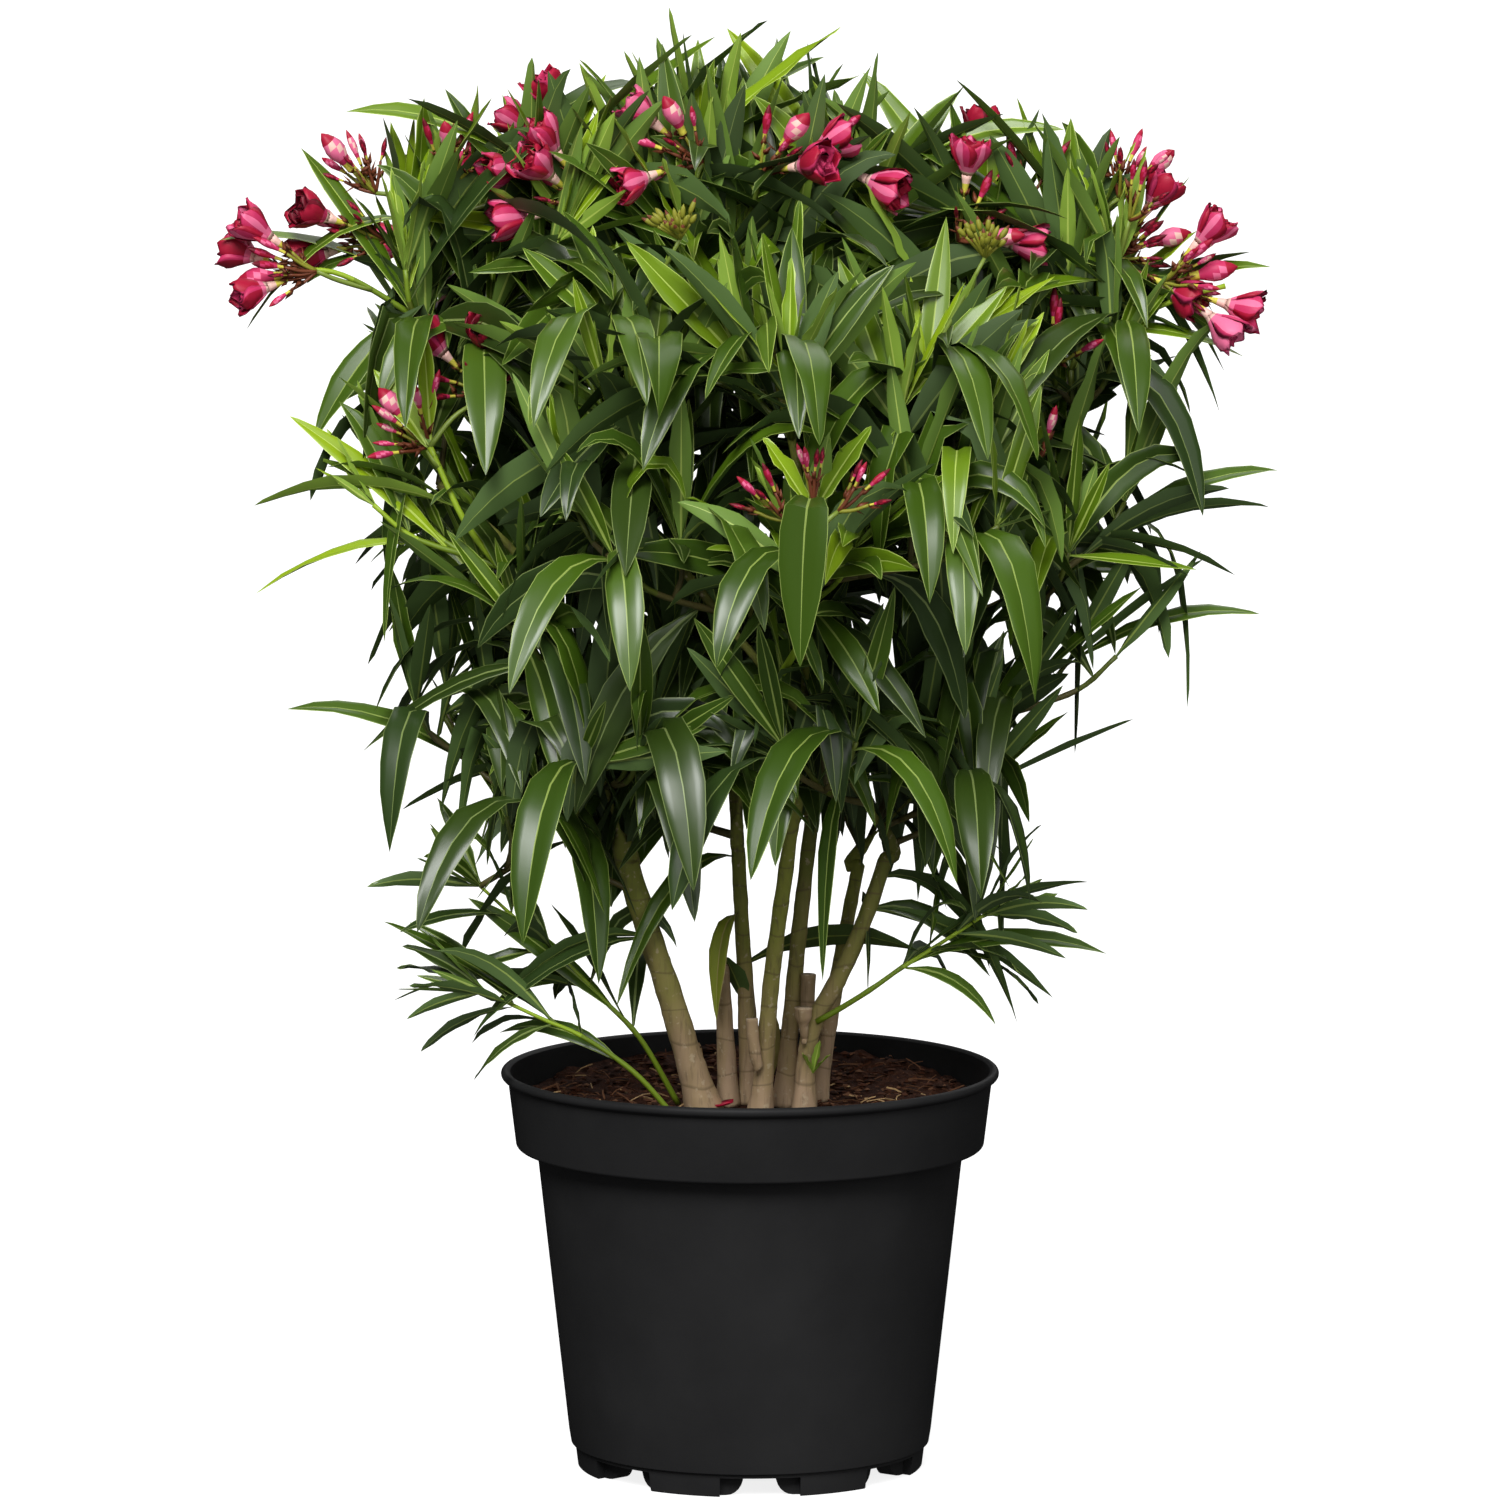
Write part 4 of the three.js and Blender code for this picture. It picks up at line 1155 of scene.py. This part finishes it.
# ---------------------------------------------------------------- blossom
PETALS = [*BLOSSOM, "stalk"]
STALK_GREEN = (0.17, 0.24, 0.03)
BUD_PROFILE = [  # how far along a bud, how wide it is there, and the colour up to there
    (0.0, 0.25, "bract"), (0.06, 0.45, "bract"), (0.12, 0.42, "cream"), (0.24, 0.5, "cream"),
    (0.36, 0.72, "rose"), (0.5, 0.98, "main"), (0.64, 1.0, "main"), (0.78, 0.82, "main"),
    (0.9, 0.5, "deep"), (1.0, 0.06, "deep"),
]
BUD_SIDES = 8
BUD_STRIPES = {"pink": "blush", "rose": "pink", "crimson": "rose", "deep": "crimson"}
SHEET = 0.00035  # how thick a petal is
THROAT = 0.34  # the share of a flower's length that is its pale tube
THROAT_WIDTHS = ([0, 0.3, 1], [0.0011, 0.0014, 0.0031])
THROAT_COLOURS = ["bract_green", "cream", "cream", "blush", "blush"]
PETAL_FOOT = 0.0026  # how far from the middle a petal leaves the tube
PETAL_ROWS, PETAL_COLUMNS = 8, 6
PETAL_LAYERS = [  # petals, share of the full width, share of the full length, turn of the whole layer
    (5, 1.0, 1.0, 0.0),
    (4, 0.68, 0.95, 0.5),
    (3, 0.36, 0.88, 1.1),
]
PETAL_TONES = {  # the middle of a petal and its edges
    "pink": ("pink", "rose"),
    "rose": ("rose", "crimson"),
    "crimson": ("crimson", "rose"),
    "deep": ("crimson", "deep"),
}
GREEN_BUD_WIDTHS = ([0, 0.35, 0.8, 1], [0.0007, 0.0019, 0.0012, 0.0002])
HEAD_ROOM = 0.068  # a head of blossom is this tall above its joint
HEAD_LOWER = 0.01  # how much lower than its joint its stalk leaves its stem
FLOWER_DEPTH, BUD_DEPTH = 0.35, 0.6  # heads are flatter from front to back than from side to side
BUD_LENGTHS = [12, 14, 16, 19, 22]
GREEN_BUDS = 20
RED = ("crimson", "rose")
DARK = ("deep", "crimson")
PINK = ("pink", "rose")


def bud(dice, base, aim, length, tone, plump=1.0):
    """A pointed bud whose petals are rolled in a spiral over a cream foot."""
    side = square_to(aim)
    over = np.cross(aim, side)
    thick = length * dice.uniform(0.095, 0.12) * plump
    lean = dice.gauss(0, 0.06) * length
    points, slots = [], []
    for i, (along, wide, kind) in enumerate(BUD_PROFILE):
        for k in range(BUD_SIDES):
            angle = FULL_TURN * k / BUD_SIDES + 1.5 * along
            out = swung(side, over, angle) * thick * wide * (1 + 0.1 * math.cos(2.5 * angle))
            points.append(base + aim * along * length + out + side * lean * along**2)
            name = kind
            if kind == "main":
                name = BUD_STRIPES[tone] if (k + i - 1) % 4 == 0 else tone
            elif kind == "deep" and tone in ("pink", "rose"):
                name = "crimson"
            slots.append(PETALS.index(name))
    slots = slots[BUD_SIDES:] + [PETALS.index("bract"), PETALS.index("deep")]
    HEAPS["blossom"].add(points, ring_faces(len(BUD_PROFILE), BUD_SIDES), slots)


def bract(dice, base, aim, length):
    """A small pointed scale: a narrow closed blade of six faces."""
    aim = unit(aim)
    side = unit(np.cross(aim, stray(dice, 1, 1, 1)))
    over = np.cross(aim, side)
    wide = length * 0.2
    middle = base + aim * length * 0.4
    end = base + aim * length
    points = [base, middle + side * wide, middle + over * wide * 0.5, middle - side * wide, end]
    faces = [(0, 2, 1), (0, 3, 2), (0, 1, 3), (4, 1, 2), (4, 2, 3), (4, 3, 1)]
    HEAPS["blossom"].add(points, faces, PETALS.index("bract"))


def sheet(grid, colours):
    """A closed thin shell over a grid of points, its two faces joined along the border."""
    rows, columns = grid.shape[:2]
    normal = units(np.cross(np.gradient(grid, axis=0), np.gradient(grid, axis=1)))
    points = list(grid.reshape(-1, 3))
    under = {}
    for i in range(rows):
        for k in range(columns):
            under[i, k] = i * columns + k
            if 0 < i < rows - 1 and 0 < k < columns - 1:
                under[i, k] = len(points)
                points.append(grid[i, k] - normal[i, k] * SHEET)
    faces, slots = [], []
    for i in range(rows - 1):
        for k in range(columns - 1):
            a, b = i * columns + k, (i + 1) * columns + k
            faces.append((a, b, b + 1, a + 1))
            faces.append((under[i, k], under[i, k + 1], under[i + 1, k + 1], under[i + 1, k]))
            slots += [PETALS.index(colours[i][k])] * 2
    HEAPS["blossom"].add(points, faces, slots)


def flower(dice, base, aim, size, gape, tone):
    """A half-open trumpet: a pale tube, then broad rounded petals furled over each other in three layers."""
    side = square_to(aim)
    over = np.cross(aim, side)
    throat = THROAT * size
    path = np.array([base + aim * throat * s for s in np.linspace(0, 1.08, 6)])
    radii = np.interp(np.linspace(0, 1, 6), *THROAT_WIDTHS)
    tube(HEAPS["blossom"], path, radii, 9, [PETALS.index(name) for name in THROAT_COLOURS])
    for k in range(5):
        out = swung(side, over, 1.256 * k)
        bract(dice, base + out * 0.001, aim * 0.9 + out * 0.35, size * 0.17)
    spin = dice.uniform(0, ROUND)
    for layer, (count, wide, tall, turn) in enumerate(PETAL_LAYERS):
        for k in range(count):
            start = spin + turn + FULL_TURN * k / count
            reach = tall * dice.uniform(0.93, 1.05)
            flare = dice.uniform(-0.2, 0.45)
            ripple = dice.uniform(0, ROUND)
            grid = np.zeros((PETAL_ROWS, PETAL_COLUMNS, 3))
            for i, u in enumerate(np.arange(PETAL_ROWS) / (PETAL_ROWS - 1)):
                belly = math.sin(min(1.0, u * 1.25) * math.pi / 2) ** 1.5
                radius = PETAL_FOOT + (gape * size * wide - PETAL_FOOT) * belly
                radius += flare * gape * size * max(0.0, u - 0.75)
                rounding = math.sqrt(max(0.02, 1 - max(0.0, (u - 0.5) / 0.5) ** 2.4))
                for j, v in enumerate(2 * np.arange(PETAL_COLUMNS) / (PETAL_COLUMNS - 1) - 1):
                    out = swung(side, over, start + v * (2 * math.pi / count * 0.78) * rounding)
                    away = radius + 0.0011 * v * u + 0.0007 * math.sin(5 * v + 9 * u + ripple) * u
                    ahead = throat + (size - throat) * reach * u - 0.0012 * v * v * u
                    grid[i, j] = base + out * away + aim * ahead
            sheet(grid, petal_colours(layer, tone))


def petal_colours(layer, tone):
    """The colours of a petal, row by row: pale at its foot, then its middle between its two edges. On the
    outer petals, a pink band above the foot (rose on deep flowers) and a pink stripe down the middle of pink
    and rose flowers are painted highlight.
    """
    middle, edge = PETAL_TONES[tone]
    wide = PETAL_COLUMNS - 1
    body = [edge] + [edge if layer else middle] * (wide - 2) + [edge]
    rising = body
    if layer == 0:
        # painted highlight: a band of pink, or rose on deep flowers, across the outer petals just above their
        # pale foot
        rising = ["rose" if tone == "deep" else "pink"] * wide
        # painted highlight: a pink stripe down the middle of the outer petals of pink and rose flowers
        if tone in ("pink", "rose"):
            body[2] = "pink"
    return [["blush"] * wide, rising] + [body] * (PETAL_ROWS - 3)


def stalk(a, b, thick_a, thick_b, name, bow=0.0):
    path = smooth_path([a, (a + b) / 2 + UP * bow, b], max(0.003, np.linalg.norm(b - a) / 6))
    tube(HEAPS["blossom"], path, np.linspace(thick_a, thick_b, len(path)), 6, PETALS.index(name))


def green_bud(dice, base, aim, length):
    """A young closed bud: a slim green spindle with a rusty point."""
    path = smooth_path([base, base + unit(aim) * length], length / 4)
    radii = np.interp(np.linspace(0, 1, len(path)), *GREEN_BUD_WIDTHS)
    green, rust = PETALS.index("bract_green"), PETALS.index("bract")
    point = rust if dice.random() < 0.6 else green
    tube(HEAPS["blossom"], path, radii, 6, [green] * (len(path) - 2) + [point])


def bloom(dice, hub, tip, length, kind, tone):
    """One flower or bud that ends at a tip, on its own stalk from the joint of its cluster."""
    aim = unit(tip - hub)
    foot = tip - aim * min(length * MM, np.linalg.norm(tip - hub) * 0.9)
    length = np.linalg.norm(tip - foot)
    aim = unit(aim + stray(dice, 1, 1, 1) * 0.08)
    stalk(hub, foot, 0.0012, 0.0009, dice.choice(["bract", "bract_green"]), bow=-0.001)
    for _ in range(3):
        where = hub + (foot - hub) * dice.uniform(0.3, 1)
        bract(dice, where, aim + stray(dice, 0.4, 0.4, 0.4), 0.009)
    aim = unit(aim)
    if kind == "flower":
        flower(dice, foot, aim, length, dice.uniform(0.27, 0.33), tone)
    else:
        bud(dice, foot, aim, length, tone, plump=1.9 if kind == "big" else 1.0)


def cluster(mass, joint, facing, flowers, buds, tones, seed):
    """A head of blossom on its own stalk: open flowers round the outside, buds closer in."""
    dice = random.Random(seed)
    hub = mass.place(*joint)
    hub[2] = min(hub[2], TOP - HEAD_ROOM)
    aim = unit(np.array(facing, float))
    start, _ = nearest_stem(hub, HEAD_LOWER)
    path = smooth_path([start, (start + hub) / 2 + aim * 0.004, hub], 0.005)
    tube(HEAPS["blossom"], path, np.linspace(0.0018, 0.0013, len(path)), 7, PETALS.index("stalk"))
    side = square_to(aim)
    for n in range(flowers + buds):
        out = turned(side, aim, GOLDEN_ANGLE * n + seed)
        is_open = n < flowers
        way = swung(aim, out, dice.uniform(0.4, 0.95) if is_open else dice.uniform(0.08, 0.85))
        way = unit(way * [1, FLOWER_DEPTH if is_open else BUD_DEPTH, 1])
        if is_open:
            reach, length = dice.uniform(0.050, 0.062), dice.uniform(33, 38)
            bloom(dice, hub, hub + way * reach, length, "flower", dice.choice(tones))
        elif n == flowers and buds > 4:
            reach, length = dice.uniform(0.042, 0.050), dice.uniform(24, 29)
            bloom(dice, hub, hub + way * reach, length, "big", PINK[n % 2])
        else:
            length = dice.choice(BUD_LENGTHS)
            tone = "deep" if length < 15 else dice.choice(tones)
            bloom(dice, hub, hub + way * (0.016 + length * MM * dice.uniform(1.0, 1.3)), length, "bud", tone)


def young_cluster(mass, joint, facing, seed):
    """A tight head of green buds."""
    dice = random.Random(seed)
    hub = mass.place(*joint)
    aim = unit(np.array(facing, float))
    start, _ = nearest_stem(hub, HEAD_LOWER)
    stalk(start, hub, 0.0015, 0.0012, "stalk")
    side = unit(np.cross(aim, RIGHT))
    for n in range(GREEN_BUDS):
        out = turned(side, aim, GOLDEN_ANGLE * n)
        way = swung(aim, out, 0.85 * math.sqrt((n + 0.5) / GREEN_BUDS))
        foot = hub + way * dice.uniform(0.006, 0.016)
        stalk(hub, foot, 0.0009, 0.0008, "bract_green")
        green_bud(dice, foot, way, dice.uniform(0.006, 0.011))


# ---------------------------------------------------------------- the crown
SHOOTS_IN = {  # how many shoots fill a mass, where it isn't the usual number
    "top_centre": 6, "top_left": 4, "top_right": 5, "heart_upper": 6, "heart_lower": 6, "right_middle": 4,
    "front_right": 4, "front_droop": 4, "right_droop": 4, "back_droop_left": 4, "back_droop_right": 4,
    "back_left": 4, "back_right": 4, "back_left_upper": 4, "back_right_upper": 4, "back_top": 4,
    "flower_arm_left": 0, "flower_arm_right": 0, "low_sprig_left": 0, "low_sprig_right": 0,
}
USUAL_SHOOTS = 3
FRONT_LEAVES = {  # broad leaves that hang over the front of a mass
    "front_left_upper": 3, "front_upper": 3, "front_right_upper": 3, "front_left": 3, "front_bud_spray": 2,
    "front_right": 4, "left_middle": 2, "right_middle": 2, "front_left_droop": 3, "front_droop": 3,
    "left_droop": 2, "right_droop": 2, "left_upper": 2, "right_upper": 2, "heart_lower": 4, "left_low": 2,
}
CLUSTERS = [  # mass, the joint's place in it, the way it faces, open flowers, buds, tones
    ("flower_arm_left", (1.3, 0, 0.1), (-1, -0.3, 0.1), 3, 9, RED),
    ("upper_left", (-0.4, 0, -0.3), (-0.9, -0.3, 0.2), 2, 11, DARK),
    ("upper_left", (-0.5, 0, 0.2), (-0.5, 0, 0.9), 0, 11, PINK),
    ("upper_left", (0.3, 0, 0.3), (0.2, -0.2, 1), 0, 6, RED),
    ("top_left", (0.2, 0.2, 0), (-0.7, -0.2, 0.5), 3, 4, RED),
    ("top_left", (0.3, -0.4, -0.4), (-0.7, -0.4, 0.3), 3, 3, PINK),
    ("top_centre", (0.1, -0.7, -0.1), (-0.7, -0.3, 0.5), 2, 6, PINK),
    ("top_centre", (0.7, -0.7, -0.2), (0.5, -0.3, 0.5), 2, 6, RED),
    ("top_right", (-0.1, -0.6, 0), (0.4, -0.6, 0.2), 1, 3, RED),
    ("shoulder_right", (0.1, -0.5, -0.3), (0.6, -0.5, 0.4), 2, 5, RED),
    ("shoulder_right", (0.3, 0.3, 0), (0.4, 0.4, 0.6), 1, 2, DARK),
    ("upper_right", (0.2, 0, -0.3), (0.9, -0.2, 0.3), 2, 11, DARK),
    ("upper_right", (0.3, 0, 0.3), (0.4, 0, 0.9), 0, 11, PINK),
    ("upper_right", (-0.7, 0, 0.3), (-0.2, -0.2, 1), 0, 4, RED),
    ("upper_right", (0.4, -0.5, 0.1), (0.3, -0.4, 1), 0, 4, RED),
    ("flower_arm_right", (-1.6, 0, 0.1), (1, -0.4, 0.1), 3, 9, PINK),
    ("left_upper", (0.4, -0.6, -0.3), (-0.6, -0.6, 0.4), 2, 4, DARK),
    ("left_bud_arm", (0.9, -0.4, 1), (0.1, -0.2, 1), 0, 3, PINK),
    ("left_bud_arm", (0.4, -0.5, 0.5), (-0.8, -0.4, 0.4), 0, 7, PINK),
    ("left_bud_arm", (0.3, -0.3, 0.6), (-0.4, -0.2, 1), 0, 3, RED),
    ("front_bud_spray", (0, -1, 0.4), (0, -0.3, 1), 0, 4, PINK),
    ("front_bud_spray", (-0.3, -1, 0.2), (-0.8, -0.3, 0.8), 0, 4, RED),
    ("front_bud_spray", (0.3, -1, 0.3), (0.8, -0.3, 0.9), 0, 4, RED),
    ("right_upper", (-0.2, -0.6, 0.1), (0.2, -0.4, 1), 0, 3, RED),
    ("right_middle", (-0.3, -0.7, 0.6), (0.2, -0.3, 1), 0, 3, PINK),
    ("back_left_upper", (-0.2, 0.3, 0.5), (-0.5, 0.5, 0.6), 4, 6, RED),
    ("back_right_upper", (0.2, 0.3, 0.5), (0.3, 0.7, 0.6), 3, 6, RED),
    ("back_top", (0.1, 0.7, 0.2), (0, 0.7, 0.5), 3, 6, PINK),
    ("back_middle", (-0.2, 0.4, 0.6), (0, 0.8, 0.6), 0, 6, RED),
]
YOUNG_CLUSTERS = [
    ("front_left_upper", (0.6, -0.4, 0.9), (-0.2, -0.2, 1)),
    ("front_right_upper", (0.5, 0, 1), (0.1, -0.1, 1)),
]
BUD_ARMS = [  # pale young shoots that carry buds: mass, foot and head, both told as places in the mass
    ("front_bud_spray", (0, -0.4, -1.7), (0, -1, 0.3)),
    ("left_bud_arm", (1.4, -0.3, -1.6), (0.4, -0.7, 0.5)),
]
LIMB_END = 2.4  # the radius of a limb where it ends in the crown, in millimetres
CANE_GREENS = [(0.145, 0.155, 0.026), (0.215, 0.235, 0.036), (0.180, 0.195, 0.032)]
STUB_BROWN = (0.36, 0.28, 0.16)
FALLEN = {"points": 5, "half": 0.0052, "long": 0.011}  # the petal on the compost
CLIMBED = set()  # masses that a limb runs through


def climb(centres):
    """A limb's way on from its cane: through two masses ahead of it, each higher than the one before."""
    place, heading, way = centres[-1], unit(centres[-1] - centres[-20]), []
    for _ in range(2):
        ahead = place + heading * LONG_LEAF
        higher = [m for m in MASSES.values() if m.name not in CLIMBED and m.centre[2] > place[2] + 0.05]
        if not higher:
            break
        aim = min(higher, key=lambda mass: np.linalg.norm(mass.centre - ahead))
        CLIMBED.add(aim.name)
        goal = aim.centre * np.array([0.88, 0.88, 1])
        heading, place = unit(goal - place), goal
        way.append(goal)
    return way


def make_limbs():
    for number, node in enumerate(nodes_of("bark")):
        centres, radii = spine(node, 2, 60)
        path = smooth_path([*centres[::4], *climb(centres)], 0.0022)
        heights, start = path[:, 2], centres[-1][2]
        thick = np.interp(heights, centres[:, 2], radii)
        beyond = heights > start
        share = (heights - start) / max(1e-6, heights[-1] - start)
        thick[beyond] = radii[-1] + (LIMB_END * MM - radii[-1]) * share[beyond]
        carries = heights > RIM + 0.05
        STEMS.extend(zip(path[carries][::3], thick[carries][::3]))
        heap = barked(node.replace("cane", "limb"), path, thick, 24, 11 + number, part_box(node)[0].z)
        skin = bark("bark_" + node, RIM - 0.02, RIM + CROWN * 0.2, CANE_GREENS[number % 3])
        finished(heap.piece([skin, cut_wood()]), "bark", node)
    for number, node in enumerate(nodes_of("cut_wood")):
        centres, radii = spine(node, 2, 14)
        path = smooth_path(centres, 0.0016)
        thick = np.interp(path[:, 2], centres[:, 2], radii)
        heap = barked("cut_" + node, path, thick, 20, 51 + number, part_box(node)[0].z, knots=0.6)
        skin = bark("bark_" + node, RIM - 0.05, RIM + CROWN * 1.5, STUB_BROWN)
        finished(heap.piece([skin, cut_wood()]), "cut_wood", node)


def make_low_shoots():
    """The shoots that lie over the rim, each carried on a little further the way it points."""
    low_shoots = [name for name in nodes_of("green_stem") if name.startswith("low_shoot")]
    for number, node in enumerate(low_shoots):
        centres, _ = spine(node, 0, 9)
        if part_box(node)[1].x < 0:
            centres = centres[::-1]
        onward = centres[-1] + unit(centres[-1] - centres[-4]) * 0.035
        shoot("sprig", [*centres[::2], onward], (1.8, 0.9), 300 + number)


def make_small_growth():
    """A sprout on the right cane, and fading leaves low down among the canes."""
    dice = random.Random(77)
    centres, _ = spine("cane_right", 2, 30)
    joint = centres[4] + [0.004, -0.004, 0]
    for ahead, up in ((0.004, 0.020), (0.010, 0.012), (-0.006, 0.013)):
        long_leaf(joint, joint + [ahead, -0.006, up], 5, "lime", dice)
    centres, _ = spine("cane_centre", 2, 30)
    long_leaf(centres[19], centres[19] + [-0.014, -0.018, -0.058], 13, "dying", dice, 0.3)
    long_leaf(centres[1] + [0.010, 0, 0], centres[10] + [0.014, -0.010, 0], 14, "dying", dice)
    long_leaf(centres[10], centres[15] + [-0.010, -0.010, 0], 15, "leafy", dice, 0.4)


def drop_petal():
    """One crimson petal that has fallen on the compost, between two of the canes."""
    low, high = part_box("stub_left")
    spot = Vector((low.x, low.y - 0.018, high.z))
    ground = surface_of("soil").ray_cast(spot, Vector((0, 0, -1)))[0]
    count = FALLEN["points"]
    grid = np.zeros((count, count, 3))
    for i, u in enumerate(np.linspace(0, 1, count)):
        for k, v in enumerate(np.linspace(-1, 1, count)):
            wide = FALLEN["half"] * math.sin(math.pi * (0.12 + 0.8 * u))
            grid[i, k] = np.array(ground) + [FALLEN["long"] * u, wide * v, 0.003 + 0.002 * v * v + 0.003 * u]
    sheet(grid, [["crimson"] * (count - 1)] * (count - 1))


def make_bud_arms():
    """Pale shoots through the young masses, each bent forward on its way to its head of buds."""
    for name, foot, head in BUD_ARMS:
        mass = MASSES[name]
        start, _ = nearest_stem(mass.place(*foot))
        middle = mass.place(*((np.array(foot) + head) / 2 + [0, -0.3, 0]))
        way = [start, middle, mass.place(*head)]
        shoot("bud", way, (2.3, 1.6), 88, tuft=False, whorls=2, first=0.15, stem=("lime", "lime"))


def make_crown():
    make_low_shoots()
    make_small_growth()
    drop_petal()
    join_masses()
    make_bud_arms()
    for number, mass in enumerate(MASSES.values()):
        fill(mass, SHOOTS_IN.get(mass.name, USUAL_SHOOTS), 500 + number)
    for number, mass in enumerate(MASSES.values()):
        tip_leaves(mass, 700 + number)
    for number, (name, count) in enumerate(FRONT_LEAVES.items()):
        front_leaves(MASSES[name], count, 900 + number)
    for number, (name, *head) in enumerate(CLUSTERS):
        cluster(MASSES[name], *head, 1200 + number)
    for number, (name, *head) in enumerate(YOUNG_CLUSTERS):
        young_cluster(MASSES[name], *head, 1300 + number)


def home(mass):
    """The name of the piece that stands for a mass."""
    if SLOT_OF[mass.name] == "leaf":
        return heap_for(mass.centre, "old").name
    return "young_leaves" if mass.young else "blossom"


def gather():
    """Turns the heaps into pieces and hides the masses and stalks each stands for."""
    stems = [plain_material(f"stem_{name}", colour, 0.5) for name, colour in STEM_GREENS.items()]
    petals = [plain_material(f"petal_{name}", colour, 0.5, specular=0.3) for name, colour in BLOSSOM.items()]
    petals.append(plain_material("flower_stalk_green", STALK_GREEN, 0.5))
    finished(HEAPS["twigs"].piece(stems), "green_stem", *nodes_of("green_stem"))
    for name in [*LEAF_HEAPS, "blossom"]:
        slot = {"young_leaves": "young_leaf", "blossom": "blossom"}.get(name, "leaf")
        looks = (petals, None) if name == "blossom" else (MATERIALS, LEAF_CREASE)
        nodes = [mass.name for mass in MASSES.values() if home(mass) == name]
        finished(HEAPS[name].piece(*looks), slot, *nodes)


make_camera()
make_floor()
make_light()
make_pot()
make_compost()
make_limbs()
make_crown()
gather()
